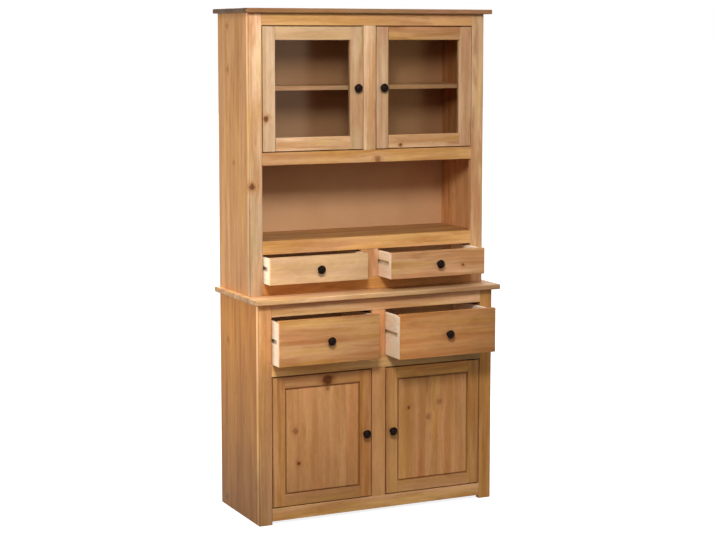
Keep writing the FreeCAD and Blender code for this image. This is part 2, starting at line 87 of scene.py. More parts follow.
# A direction that no edge of a board stands square to, along which the elements of a mesh are put in order
ORDER = Vector((0.5403, 0.7568, 0.3679))
# Steps of a full turn on the lathe
TURN_STEPS = 32
# Names of the attributes that a board's mesh carries; the last is a painted gradient of light and shade
# along the board
GRAIN, STAVE, PITH, KNOT, FIGURE, PAINTED_LIGHT_FADE = "grain", "stave", "pith", "knot", "figure", "fade"

Colour = tuple[float, float, float, float]
Triple = tuple[float, float, float]
Pair = tuple[float, float]


def srgb(red: int, green: int, blue: int) -> Colour:
    """Turn a colour as a screen shows it into the linear values that shaders take.

    Args:
        red: Red, from 0 to 255.
        green: Green, from 0 to 255.
        blue: Blue, from 0 to 255.

    Returns:
        The linear colour with full alpha.
    """
    shares = [part / 255 for part in (red, green, blue)]
    linear = [s / 12.92 if s <= 0.04045 else ((s + 0.055) / 1.055) ** 2.4 for s in shares]
    return (linear[0], linear[1], linear[2], 1.0)


def grey(level: float) -> Colour:
    """Give the grey of a linear level."""
    return (level, level, level, 1.0)


# Shader sockets and materials


class Signal:
    """A shader socket whose arithmetic adds Math nodes."""

    def __init__(self, recipe: Recipe, socket: bpy.types.NodeSocket) -> None:
        """Wrap a socket of a recipe's nodes."""
        self.recipe = recipe
        self.socket = socket

    def _math(self, operation: str, *terms: Value) -> Signal:
        """Add a Math node on these terms."""
        return self.recipe.take("ShaderNodeMath", {"operation": operation}, dict(enumerate(terms)))

    def __add__(self, other: Value) -> Signal:
        """Add a value."""
        return self._math("ADD", self, other)

    def __radd__(self, other: Value) -> Signal:
        """Be added to a value."""
        return self._math("ADD", other, self)

    def __sub__(self, other: Value) -> Signal:
        """Take a value away."""
        return self._math("SUBTRACT", self, other)

    def __rsub__(self, other: Value) -> Signal:
        """Be taken away from a value."""
        return self._math("SUBTRACT", other, self)

    def __mul__(self, other: Value) -> Signal:
        """Multiply by a value."""
        return self._math("MULTIPLY", self, other)

    def __rmul__(self, other: Value) -> Signal:
        """Multiply a value."""
        return self._math("MULTIPLY", other, self)

    def __truediv__(self, other: Value) -> Signal:
        """Divide by a value."""
        return self._math("DIVIDE", self, other)

    def __rtruediv__(self, other: Value) -> Signal:
        """Divide a value."""
        return self._math("DIVIDE", other, self)

    def squared(self) -> Signal:
        """Multiply by itself."""
        return self * self

    def root(self) -> Signal:
        """Take the square root."""
        return self._math("SQRT", self)

    def fraction(self) -> Signal:
        """Keep what is after the decimal point."""
        return self._math("FRACT", self)

    def at_least(self, floor: Value) -> Signal:
        """Raise whatever is lower to a floor."""
        return self._math("MAXIMUM", self, floor)

    def at_most(self, ceiling: Value) -> Signal:
        """Lower whatever is higher to a ceiling."""
        return self._math("MINIMUM", self, ceiling)

    def step(self, start: float, end: float) -> Signal:
        """Rise smoothly from 0 at start to 1 at end, which may be the lower of the two."""
        sockets = {"Value": self, "From Min": start, "From Max": end}
        return self.recipe.take("ShaderNodeMapRange", {"interpolation_type": "SMOOTHSTEP"}, sockets)


Value = Signal | float | tuple


@dataclass(frozen=True)
class Pattern:
    """A noise pattern: its waves to a metre along each axis, what sets it apart, and its finer layers.

    Where it has a cut, the noise turns from 0 to 1 between those two values.
    """

    waves: Triple
    seed: float = 0.0
    detail: float = 2.0
    cut: Pair | None = None


class Recipe:
    """Adds the nodes of one material or world."""

    # Places of a colour Mix node's sockets, because several share a name
    FACTOR, FIRST, SECOND, MIXED = 0, 6, 7, 2
    # The value that noise lies about
    NOISE_MEAN = 0.5

    def __init__(self, owner: bpy.types.Material | bpy.types.World) -> None:
        """Start on an empty node tree.

        Args:
            owner: Whose nodes these are.
        """
        owner.use_nodes = True
        self.tree = owner.node_tree
        self.tree.nodes.clear()

    def add(self, kind: str, settings: dict | None = None, inputs: dict | None = None) -> bpy.types.Node:
        """Add any node.

        Args:
            kind: The node's type.
            settings: Properties to set first; stops are a ramp's (place, colour) pairs.
            inputs: Values or signals by the socket's name or number.

        Returns:
            The new node.
        """
        node = self.tree.nodes.new(kind)
        for name, value in (settings or {}).items():
            if name == "stops":
                self._set_stops(node.color_ramp, value)
            else:
                setattr(node, name, value)
        for key, value in (inputs or {}).items():
            if isinstance(value, Signal):
                self.tree.links.new(value.socket, node.inputs[key])
            else:
                node.inputs[key].default_value = value
        return node

    @staticmethod
    def _set_stops(ramp: bpy.types.ColorRamp, stops: Sequence[tuple[float, Colour]]) -> None:
        """Give a ramp its stops.

        Args:
            ramp: The ramp of a new node, which has two stops.
            stops: At least two (place, colour) pairs.
        """
        while len(ramp.elements) < len(stops):
            ramp.elements.new(1.0)
        for element, (place, colour) in zip(ramp.elements, stops):
            element.position = place
            element.color = colour

    def take(self, kind: str, settings: dict | None = None, inputs: dict | None = None,
             output: int | str = 0) -> Signal:
        """Add a node as add does, and give the output of that name or number."""
        return Signal(self, self.add(kind, settings, inputs).outputs[output])

    def attribute(self, name: str, output: str = "Vector") -> Signal:
        """Read an attribute of the mesh, as a vector or, by the output Fac, as one number."""
        return self.take("ShaderNodeAttribute", {"attribute_name": name}, output=output)

    def place(self) -> Signal:
        """Read the object coordinates."""
        return self.take("ShaderNodeTexCoord", output="Object")

    def split(self, vector: Signal) -> list[Signal]:
        """Take a vector apart into its three numbers."""
        node = self.add("ShaderNodeSeparateXYZ", inputs={0: vector})
        return [Signal(self, socket) for socket in node.outputs]

    def noise(self, vector: Signal, pattern: Pattern, seed: Value = 0.0) -> Signal:
        """Add noise that is stretched by its own scale along each axis.

        Args:
            vector: Where on the surface, in metres.
            pattern: The pattern of the noise.
            seed: What sets it apart from the same pattern elsewhere.

        Returns:
            A number about 0.5, or from 0 to 1 where the pattern has a cut.
        """
        spread = self.take("ShaderNodeVectorMath", {"operation": "MULTIPLY"}, {0: vector, 1: pattern.waves})
        sockets = {"Vector": spread, "W": seed + pattern.seed, "Scale": 1.0, "Detail": pattern.detail}
        made = self.take("ShaderNodeTexNoise", {"noise_dimensions": "4D"}, sockets)
        return made.step(*pattern.cut) if pattern.cut else made

    def sway(self, vector: Signal, pattern: Pattern, seed: Value = 0.0) -> Signal:
        """Add noise as noise does, but about 0."""
        return self.noise(vector, pattern, seed) - self.NOISE_MEAN

    def ramp(self, factor: Signal, stops: Sequence[Pair]) -> Signal:
        """Turn a number into another by a ramp of (place, value) stops."""
        greys = [(place, grey(level)) for place, level in stops]
        return self.take("ShaderNodeValToRGB", {"stops": greys}, {0: factor})

    def blend(self, factor: Value, first: Value, second: Value, mode: str = "MIX") -> Signal:
        """Blend two colours by a factor."""
        sockets = {self.FACTOR: factor, self.FIRST: first, self.SECOND: second}
        return self.take("ShaderNodeMix", {"data_type": "RGBA", "blend_type": mode}, sockets, self.MIXED)

    def scaled(self, colour: Signal, factor: Signal) -> Signal:
        """Make a colour lighter or darker."""
        return self.take("ShaderNodeVectorMath", {"operation": "SCALE"}, {0: colour, "Scale": factor})

    def bump(self, height: Signal, strength: float, depth: float) -> Signal:
        """Turn heights into normals."""
        sockets = {"Strength": strength, "Distance": depth, "Height": height}
        return self.take("ShaderNodeBump", inputs=sockets)

    def seen(self) -> Signal:
        """Tell the rays that show what they meet from those that only light it.

        Returns:
            1 for rays from the camera, by a reflection or through glass, and 0 for others.
        """
        path = self.add("ShaderNodeLightPath")
        kinds = ("Is Camera Ray", "Is Glossy Ray", "Is Transmission Ray")
        camera, glossy, through = (Signal(self, path.outputs[kind]) for kind in kinds)
        return (camera + glossy + through).at_most(1.0)

    def glow(self, colour: Value) -> Signal:
        """Shine in a colour."""
        return self.take("ShaderNodeEmission", inputs={"Color": colour, "Strength": 1.0})

    def either(self, factor: Signal, first: Signal, second: Signal) -> Signal:
        """Mix two shaders by a factor."""
        return self.take("ShaderNodeMixShader", inputs={0: factor, 1: first, 2: second})

    def close(self, surface: Signal, kind: str = "ShaderNodeOutputMaterial") -> None:
        """Send a shader to the output."""
        self.add(kind, inputs={"Surface": surface})

    def coat(self, sockets: dict[str, Value]) -> None:
        """Close with a Principled surface."""
        self.close(self.take("ShaderNodeBsdfPrincipled", inputs=sockets))


class Finish:
    """A surface finish that makes its material once."""

    slot: str

    def _fill(self, recipe: Recipe) -> None:
        """Add the finish's nodes to an empty recipe."""
        raise NotImplementedError

    def material(self) -> bpy.types.Material:
        """Give the finish's material, and make it at the first call.

        Returns:
            The material.
        """
        name = f"{self.slot}_finish"
        made = bpy.data.materials.get(name)
        if made is None:
            made = bpy.data.materials.new(name)
            self._fill(Recipe(made))
        return made


@dataclass(frozen=True)
class PineFinish(Finish):
    """Pine with flowing streaks, rings about the pith of each stave, and knots that the grain goes round."""

    slot: str
    pale: Colour
    honey: Colour
    late: Colour
    rings: float
    streaks: float
    roughness: float
    coat: float
    relief: float
    stain: float = 0.5
    golden: Colour = (0.98, 1.0, 0.76, 1.0)
    rosy: Colour = (1.0, 0.89, 0.90, 1.0)
    amber: Colour = (1.0, 0.62, 0.28, 1.0)
    knot: Colour = srgb(128, 66, 30)
    knot_rim: Colour = srgb(88, 42, 18)
    knot_halo: Colour = srgb(190, 120, 62)
    knot_stretch: float = 1.1
    knot_detour: float = 2.0
    knot_ragged: float = 1.3
    halo_share: float = 0.6
    wander: float = 0.025
    slim_share: float = 0.4
    late_share: float = 0.55
    cloudy: float = 0.42
    mottled: float = 0.28
    fibrous: float = 0.08
    fibre_roughness: float = 0.15
    late_polish: float = 0.05
    late_ridge: float = 0.6
    relief_depth: float = 0.0006
    coat_roughness: float = 0.32
    bending: float = 1.45
    shine: float = 0.05

    # Patterns in the wood, whose first waves go along the fibres
    DRIFT = Pattern((2.6, 7.0, 7.0), 0.0, 1.0)
    BROAD = Pattern((2.4, 34.0, 34.0), 1.0, 3.0, cut=(0.36, 0.64))
    SLIM = Pattern((7.0, 130.0, 130.0), 3.0, cut=(0.42, 0.70))
    FADING = Pattern((3.5, 18.0, 18.0), 4.0, 1.0, cut=(0.40, 0.62))
    CLOUD = Pattern((5.0, 16.0, 16.0), 5.0)
    TINT = Pattern((3.0, 26.0, 26.0), 6.0)
    FIBRE = Pattern((30.0, 1100.0, 1100.0), 7.0)
    STAIN = Pattern((7.0, 32.0, 32.0), 8.0, cut=(0.56, 0.76))
    RAGGED = Pattern((75.0, 75.0, 75.0), 9.0)
    MOTTLE = Pattern((42.0, 150.0, 150.0), 10.0)
    # How the colour deepens through one year: slowly, then dark, then at once pale again
    YEAR = ((0.0, 0.0), (0.45, 0.12), (0.82, 0.75), (0.93, 1.0), (1.0, 0.0))
    # How the tint turns golden to one side and rosy to the other
    GOLDEN_LEAN, ROSY_LEAN = (0.0, 0.2), (0.0, -0.2)
    # Where a knot's halo, body and rim start and are full, in radii of the knot
    HALO, BODY, RIM = (3.2, 0.9), (1.5, 0.5), (0.3, 0.95)

    def _fill(self, recipe: Recipe) -> None:
        """Add streaks, rings, fibres and knots.

        Args:
            recipe: The empty recipe.
        """
        grain = recipe.attribute(GRAIN)
        along, across, deep = recipe.split(grain)
        tone, warmth, seed = recipe.split(recipe.attribute(STAVE))
        pith_across, pith_deep, year = recipe.split(recipe.attribute(PITH))
        knot_along, knot_across, knot_radius = recipe.split(recipe.attribute(KNOT))
        figure, knot_depth, hue = recipe.split(recipe.attribute(FIGURE))

        # The fibres flow round the knot and drift a little on their way
        aside = across - knot_across
        spread = ((along - knot_along) / self.knot_stretch).squared() + aside.squared()
        core = knot_radius.squared() * self.knot_detour
        drift = recipe.sway(grain, self.DRIFT, seed) * self.wander
        flow = across - aside * core / spread.at_least(core + WELD * WELD) + drift
        fibres = recipe.take("ShaderNodeCombineXYZ", inputs={0: along, 1: flow, 2: deep})
        fibre = recipe.sway(grain, self.FIBRE, seed)
        reach = ((flow - pith_across).squared() + (deep - pith_deep).squared()).root()
        late = recipe.ramp((reach / year).fraction(), self.YEAR) * recipe.noise(fibres, self.FADING, seed)

        # Streaks, lines and stains lie over each other, and then the wood's tints
        broad = recipe.noise(fibres, self.BROAD, seed) * self.streaks
        body = recipe.blend(broad * figure, self.pale, self.honey)
        slim = recipe.noise(fibres, self.SLIM, seed) * self.slim_share
        body = recipe.blend((slim + late * self.late_share) * self.rings * figure, body, self.late)
        stain = recipe.noise(fibres, self.STAIN, seed) * self.stain
        body = recipe.blend(stain * figure, body, self.late)
        body = recipe.blend(warmth, body, self.amber, "MULTIPLY")
        tint = recipe.sway(fibres, self.TINT, seed) * figure + hue
        body = recipe.blend(tint.step(*self.GOLDEN_LEAN), body, self.golden, "MULTIPLY")
        body = recipe.blend(tint.step(*self.ROSY_LEAN), body, self.rosy, "MULTIPLY")

        # The knot comes last, under nothing but the patches that darken all of it
        ragged = 1.0 + recipe.sway(grain, self.RAGGED, seed) * self.knot_ragged
        distance = spread.root() / knot_radius.at_least(WELD) * ragged
        halo = distance.step(*self.HALO) * self.halo_share
        body = recipe.blend(halo * knot_depth, body, self.knot_halo)
        heart = recipe.blend(distance.step(*self.RIM), self.knot, self.knot_rim)
        body = recipe.blend(distance.step(*self.BODY) * knot_depth, body, heart)
        cloud = recipe.sway(grain, self.CLOUD, seed) * self.cloudy
        mottle = recipe.sway(grain, self.MOTTLE, seed) * self.mottled
        patches = 1.0 + cloud + mottle + fibre * self.fibrous
        # The base colour carries the painted light fade, a gradient of light and shade along each board
        recipe.coat({
            "Base Color": recipe.scaled(body, tone * recipe.attribute(PAINTED_LIGHT_FADE, "Fac") * patches),
            "Roughness": self.roughness + fibre * self.fibre_roughness - late * self.late_polish,
            "Normal": recipe.bump(late * self.late_ridge + fibre, self.relief, self.relief_depth),
            "Coat Weight": self.coat,
            "Coat Roughness": self.coat_roughness,
            "IOR": self.bending,
            "Specular IOR Level": self.shine,
        })


@dataclass(frozen=True)
class FibreFinish(Finish):
    """Pressed fibreboard, finely mottled, with no grain."""

    slot: str
    light: Colour
    dark: Colour
    fleck_share: float = 0.7
    contrast: Pair = (0.36, 0.64)
    roughness: float = 0.6
    uneven: float = 0.1
    relief: float = 0.1
    relief_depth: float = 0.0003
    shine: float = 0.1

    BLOTCH = Pattern((9.0, 9.0, 9.0))
    FLECK = Pattern((420.0, 420.0, 420.0), 1.0, 3.0)

    def _fill(self, recipe: Recipe) -> None:
        """Mottle the board coarsely and finely.

        Args:
            recipe: The empty recipe.
        """
        place = recipe.place()
        blotch = recipe.noise(place, self.BLOTCH)
        fleck = recipe.noise(place, self.FLECK)
        mottle = blotch * (1.0 - self.fleck_share) + fleck * self.fleck_share
        recipe.coat({
            "Base Color": recipe.blend(mottle.step(*self.contrast), self.light, self.dark),
            "Roughness": self.roughness + fleck * self.uneven,
            "Normal": recipe.bump(fleck, self.relief, self.relief_depth),
            "Specular IOR Level": self.shine,
        })


@dataclass(frozen=True)
class GlassFinish(Finish):
    """Clear float glass, faintly grey, with a wiped shine."""

    slot: str = "clear_glass"
    tint: Colour = (0.83, 0.825, 0.81, 1.0)
    shine: float = 0.045
    roughness: float = 0.05
    wiped: float = 0.7
    smeared: float = 0.6

    SMEAR = Pattern((5.0, 5.0, 9.0), 0.0, 3.0)

    def _fill(self, recipe: Recipe) -> None:
        """Let light through, and mirror more of it at a low angle, the same from either side.

        Args:
            recipe: The empty recipe.
        """
        smear = self.wiped + recipe.noise(recipe.place(), self.SMEAR) * self.smeared
        tilt = recipe.take("ShaderNodeLayerWeight", output="Facing")
        mirrored = self.shine + tilt.squared().squared() * tilt * (1.0 - self.shine)
        clear = recipe.take("ShaderNodeBsdfTransparent", inputs={"Color": self.tint})
        mirror = recipe.take("ShaderNodeBsdfGlossy", inputs={"Roughness": self.roughness})
        recipe.close(recipe.either(mirrored * smear, clear, mirror))


@dataclass(frozen=True)
class KnobFinish(Finish):
    """Blackened bronze, rubbed a little browner where hands touch it."""

    slot: str = "dark_knob"
    dark: Colour = srgb(20, 9, 5)
    rubbed: Colour = srgb(54, 31, 20)
    contrast: Pair = (0.45, 0.75)
    roughness: float = 0.36
    uneven: float = 0.2
    relief: float = 0.15
    relief_depth: float = 0.0003
    shine: float = 0.06

    MOTTLE = Pattern((160.0, 160.0, 160.0), 0.0, 4.0)
    SPECK = Pattern((900.0, 900.0, 900.0), 1.0)

    def _fill(self, recipe: Recipe) -> None:
        """Mottle the colour and the shine.

        Args:
            recipe: The empty recipe.
        """
        place = recipe.place()
        mottle = recipe.noise(place, self.MOTTLE)
        recipe.coat({
            "Base Color": recipe.blend(mottle.step(*self.contrast), self.dark, self.rubbed),
            "Roughness": self.roughness + mottle * self.uneven,
            "Normal": recipe.bump(recipe.noise(place, self.SPECK), self.relief, self.relief_depth),
            "Specular IOR Level": self.shine,
        })


@dataclass(frozen=True)
class SteelFinish(Finish):
    """Turned steel, browned with age, with fine lines round the rod."""

    slot: str = "pivot_steel"
    bright: Colour = srgb(112, 102, 92)
    dull: Colour = srgb(78, 70, 62)
    roughness: float = 0.38
    uneven: float = 0.2

    LINES = Pattern((60.0, 60.0, 3200.0))

    def _fill(self, recipe: Recipe) -> None:
        """Draw fine turning lines.

        Args:
            recipe: The empty recipe.
        """
        lines = recipe.noise(recipe.place(), self.LINES)
        recipe.coat({
            "Base Color": recipe.blend(lines, self.bright, self.dull),
            "Roughness": self.roughness + lines * self.uneven,
            "Metallic": 1.0,
        })


WAXED_PINE = PineFinish(
    slot="waxed_pine",
    pale=srgb(240, 203, 162),
    honey=srgb(206, 156, 108),
    late=srgb(166, 110, 66),
    rings=0.35,
    streaks=0.85,
    roughness=0.46,
    coat=0.08,
    relief=0.22,
)
RAW_PINE = PineFinish(
    slot="raw_pine",
    pale=srgb(255, 246, 226),
    honey=srgb(252, 236, 208),
    late=srgb(238, 208, 168),
    rings=0.25,
    streaks=0.5,
    roughness=0.66,
    coat=0.0,
    relief=0.3,
    stain=0.1,
    golden=(1.0, 1.0, 0.93, 1.0),
    rosy=(1.0, 0.95, 0.95, 1.0),
)
BACK_BOARD = FibreFinish(slot="back_board", light=srgb(216, 170, 126), dark=srgb(202, 154, 111))
CLEAR_GLASS = GlassFinish()
DARK_KNOB = KnobFinish()
PIVOT_STEEL = SteelFinish()


# Meshes


class Side(Enum):
    """A face of a board, by the direction that it looks in."""

    LEFT = (-1.0, 0.0, 0.0)
    RIGHT = (1.0, 0.0, 0.0)
    FRONT = (0.0, -1.0, 0.0)
    REAR = (0.0, 1.0, 0.0)
    BOTTOM = (0.0, 0.0, -1.0)
    TOP = (0.0, 0.0, 1.0)

    @property
    def vector(self) -> Vector:
        """The direction as a vector."""
        return Vector(self.value)

    def is_of(self, face: bmesh.types.BMFace) -> bool:
        """Tell if a face looks this way."""
        return face.normal.dot(self.vector) > FACING


class Grain(Enum):
    """The axis that a board's fibres run along."""

    LEVEL = 0
    DEEP = 1
    UPRIGHT = 2


@dataclass(frozen=True)
class Box:
    """A block of space between two corners."""

    low: Vector
    high: Vector

    @classmethod
    def of(cls, node: str) -> Box:
        """Give the box of a CAD node at rest."""
        return cls(*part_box(node))

    @property
    def size(self) -> Vector:
        """Its length along each axis."""
        return self.high - self.low

    @property
    def centre(self) -> Vector:
        """Its middle."""
        return (self.low + self.high) / 2

    def reset(self, **ends: float) -> Box:
        """Copy the box with some ends elsewhere.

        Args:
            **ends: New values of x0, y0 and z0, its low ends, or of x1, y1 and z1, its high ends.

        Returns:
            The new box.
        """
        corners = (self.low.copy(), self.high.copy())
        for end, value in ends.items():
            corners[int(end[1])]["xyz".index(end[0])] = value
        return Box(*corners)

    def rim(self, beside: float, over: float) -> list[Box]:
        """Divide off a strip along each end of the box, as seen from the front.

        Args:
            beside: The width of the left and right strips, which are as high as the box.
            over: The height of the lower and upper strips, which go between those.

        Returns:
            The left, right, lower and upper strips.
        """
        left, right = self.low.x + beside, self.high.x - beside
        between = self.reset(x0=left, x1=right)
        lower = between.reset(z1=self.low.z + over)
        return [self.reset(x1=left), self.reset(x0=right), lower, between.reset(z0=self.high.z - over)]

    def shared(self, other: Box) -> Box:
        """Give the space that this box and another share."""
        return Box(Vector(map(max, self.low, other.low)), Vector(map(min, self.high, other.high)))

    def holds(self, point: Vector, slack: float = WELD) -> bool:
        """Tell if a point is in the box, on its skin or no further off than the slack."""
        return all(low - slack <= p <= high + slack for low, p, high in zip(self.low, point, self.high))

    def block(self) -> bmesh.types.BMesh:
        """Start a mesh with a block that fills the box.

        Returns:
            A new mesh, which the caller frees.
        """
        work = bmesh.new()
        place = Matrix.Translation(self.centre) @ Matrix.Diagonal((*self.size, 1.0))
        bmesh.ops.create_cube(work, size=1.0, matrix=place)
        work.normal_update()
        return work


def settle(work: bmesh.types.BMesh) -> None:
    """Put the points, edges and faces of a mesh in order by their places, so that each run gives the same.

    Args:
        work: The mesh.
    """
    work.verts.sort(key=lambda vert: vert.co.dot(ORDER))
    work.edges.sort(key=lambda edge: (edge.verts[0].co + edge.verts[1].co).dot(ORDER))
    work.faces.sort(key=lambda face: face.calc_center_median().dot(ORDER))
    for elements in (work.verts, work.edges, work.faces):
        elements.index_update()


def cut_round(work: bmesh.types.BMesh, axis: int, place: float) -> None:
    """Draw a line round a mesh where a plane crosses it.

    Args:
        work: The mesh.
        axis: The number of the axis that the plane stands across.
        place: Where the plane is on that axis.
    """
    normal = Vector([float(number == axis) for number in range(3)])
    everything = [*work.verts, *work.edges, *work.faces]
    bmesh.ops.bisect_plane(work, geom=everything, dist=WELD, plane_co=normal * place, plane_no=normal)


def bevel(work: bmesh.types.BMesh, edges: list, width: float, segments: int) -> list:
    """Bevel some edges of a mesh.

    Args:
        work: The mesh.
        edges: The edges.
        width: How far the bevel reaches from each edge.
        segments: How many faces it has across.

    Returns:
        The new faces.
    """
    made = bmesh.ops.bevel(
        work,
        geom=edges,
        offset=width,
        offset_type="OFFSET",
        affect="EDGES",
        segments=segments,
        profile=0.5,
        clamp_overlap=True,
        material=-1,
    )
    work.normal_update()
    return made["faces"]


def turn(work: bmesh.types.BMesh, profile: Sequence[Pair], foot: Vector, axis: Vector) -> list:
    """Turn a profile about an axis, as on a lathe.

    Args:
        work: The mesh to add to.
        profile: Points as (radius, height above the foot), from foot to tip.
        foot: Where the axis starts.
        axis: Which way the axis points.

    Returns:
        The new faces.
    """
    before = set(work.faces)
    outward = axis.orthogonal().normalized()
    verts = [work.verts.new(foot + outward * radius + axis * height) for radius, height in profile]
    edges = [work.edges.new(pair) for pair in zip(verts, verts[1:])]
    bmesh.ops.spin(
        work,
        geom=[*verts, *edges],
        cent=foot,
        axis=axis,
        dvec=(0.0, 0.0, 0.0),
        angle=math.tau,
        steps=TURN_STEPS,
        use_merge=True,
    )
    added = {vert for face in work.faces if face not in before for vert in face.verts}
    bmesh.ops.remove_doubles(work, verts=[vert for vert in work.verts if vert in added], dist=WELD)
    made = [face for face in work.faces if face not in before]
    bmesh.ops.recalc_face_normals(work, faces=made)
    for face in made:
        face.smooth = True
    for edge in {edge for face in made for edge in face.edges}:
        edge.smooth = edge.calc_face_angle(0.0) < SHARP
    return made


def into_scene(name: str, data: bpy.types.ID) -> bpy.types.Object:
    """Put a mesh, a light or a camera into the scene.

    Args:
        name: The new object's name.
        data: What the object shows.

    Returns:
        The new object.
    """
    made = bpy.data.objects.new(name, data)
    bpy.context.scene.collection.objects.link(made)
    return made


def finished(name: str, work: bmesh.types.BMesh, finishes: Sequence[Finish]) -> bpy.types.Object:
    """Turn a mesh into an object of the scene.

    Args:
        name: The new object's name.
        work: The mesh, which is freed.
        finishes: The finishes that its faces' material numbers mean.

    Returns:
        The new object.
    """
    mesh = bpy.data.meshes.new(name)
    work.to_mesh(mesh)
    work.free()
    for finish in finishes:
        mesh.materials.append(finish.material())
    return into_scene(name, mesh)


# Boards


@dataclass(frozen=True)
class Shade:
    """How a board's wood looks.

    The tone tells how light it is, the warmth how amber, the spread how much its staves differ, the figure
    how strong the grain is, the hue how golden or rosy it is, and the painted light fade how much lighter
    its
    right, rear or upper end is drawn: a painted gradient of light and shade along the board.
    """

    tone: float = 1.0
    warmth: float = 0.0
    spread: float = 0.05
    figure: float = 1.0
    hue: float = 0.0
    fade: float = 0.0


@dataclass(frozen=True)
class Knot:
    """A knot that goes through a board at a place, and how dark it is."""

    at: Triple
    radius: float
    depth: float = 1.0


@dataclass(frozen=True)
class Round:
    """A rounded edge between a face that looks to one side and, where given, one that looks to another.

    Its tone tells how much darker it is drawn; on stile corners, door edges, drawer fronts and panel fields
    this is painted shade that dims their highlight.
    """

    radius: float
    side: Side
    other: Side | None = None
    tone: float = 1.0

    # How far the normals on a rounded edge agree with the sides that it lies between
    LEAST, MOST = 0.15, 0.98

    def takes(self, edge: bmesh.types.BMEdge) -> bool:
        """Tell if an edge is to be rounded.

        Args:
            edge: An edge of a board that is still square.

        Returns:
            True where it stands out and lies between the right faces.
        """
        faces = edge.link_faces
        if not edge.is_convex or not any(self.side.is_of(face) for face in faces):
            return False
        return self.other is None or any(self.other.is_of(face) for face in faces)

    def owns(self, face: bmesh.types.BMFace) -> bool:
        """Tell if a face is part of this rounding, by its normal."""
        leans = [face.normal.dot(side.vector) for side in (self.side, self.other) if side]
        return all(self.LEAST < lean < self.MOST for lean in leans)


@dataclass(frozen=True)
class Notch:
    """A rebate, lap or groove: a block of space that is cut out of a board through one mouth."""

    space: Box
    mouth: Side

    def carve(self, work: bmesh.types.BMesh) -> None:
        """Cut the block out of a board that is still square.

        Args:
            work: The board's mesh.
        """
        for axis in range(3):
            for corner in (self.space.low, self.space.high):
                cut_round(work, axis, corner[axis])
        settle(work)
        work.normal_update()
        opening = [f for f in work.faces if self.mouth.is_of(f) and self.space.holds(f.calc_center_median())]
        depth = abs(self.space.size.dot(self.mouth.vector))
        before = set(work.faces) - set(opening)
        moved = bmesh.ops.extrude_face_region(work, geom=opening)["geom"]
        floor = [item for item in moved if isinstance(item, bmesh.types.BMVert)]
        bmesh.ops.translate(work, vec=self.mouth.vector * -depth, verts=floor)
        bmesh.ops.delete(work, geom=opening, context="FACES_ONLY")
        self._open_ends(work, before)
        bmesh.ops.remove_doubles(work, verts=work.verts, dist=WELD)
        settle(work)
        bmesh.ops.dissolve_limit(work, angle_limit=FLAT, verts=work.verts, edges=work.edges)
        settle(work)
        work.normal_update()

    @staticmethod
    def _open_ends(work: bmesh.types.BMesh, before: set[bmesh.types.BMFace]) -> None:
        """Delete each new wall that lies on an old face, and that face, so that the cut is open there.

        Args:
            work: The board's mesh.
            before: Its old faces.
        """
        doomed = set()
        for wall in set(work.faces) - before:
            middle = wall.calc_center_median()
            covered = {old for old in before if (old.calc_center_median() - middle).length < WELD}
            doomed |= {wall, *covered} if covered else covered
        ordered = [face for face in work.faces if face in doomed]
        bmesh.ops.delete(work, geom=ordered, context="FACES")


# Planes that knots lie in: the fronts of the hutch, its right drawer, the base and its panels, and a side
HUTCH_FACE, DRAWER_FACE, BASE_FACE, PANEL_FACE, LEFT_FACE = -0.0345, -0.1405, -0.1075, -0.1, -0.45
# Knots, at the places where the photograph shows them
KNOTS = (
    Knot((-0.439, HUTCH_FACE, 1.152), 0.0095, 0.9),
    Knot((-0.388, HUTCH_FACE, 1.380), 0.0085, 0.9),
    Knot((0.119, HUTCH_FACE, 1.280), 0.0050, 0.9),
    Knot((0.030, HUTCH_FACE, 1.231), 0.0100, 0.6),
    Knot((0.313, DRAWER_FACE, 0.859), 0.0045, 0.8),
    Knot((-0.195, BASE_FACE, 0.486), 0.0165),
    Knot((-0.195, PANEL_FACE, 0.456), 0.0060, 0.5),
    Knot((-0.314, PANEL_FACE, 0.317), 0.0085, 0.5),
    Knot((-0.303, PANEL_FACE, 0.204), 0.0050, 0.95),
    Knot((0.118, PANEL_FACE, 0.359), 0.0050, 0.95),
    Knot((0.196, PANEL_FACE, 0.318), 0.0085, 0.4),
    Knot((0.240, PANEL_FACE, 0.370), 0.0090, 0.4),
    Knot((LEFT_FACE, 0.160, 1.690), 0.0095, 0.45),
    Knot((LEFT_FACE, 0.158, 1.543), 0.0080, 0.45),
    Knot((LEFT_FACE, 0.104, 1.225), 0.0060, 0.4),
    Knot((LEFT_FACE, 0.194, 0.033), 0.0100, 0.45),
    Knot((LEFT_FACE, 0.173, 0.600), 0.0080, 0.4),
)


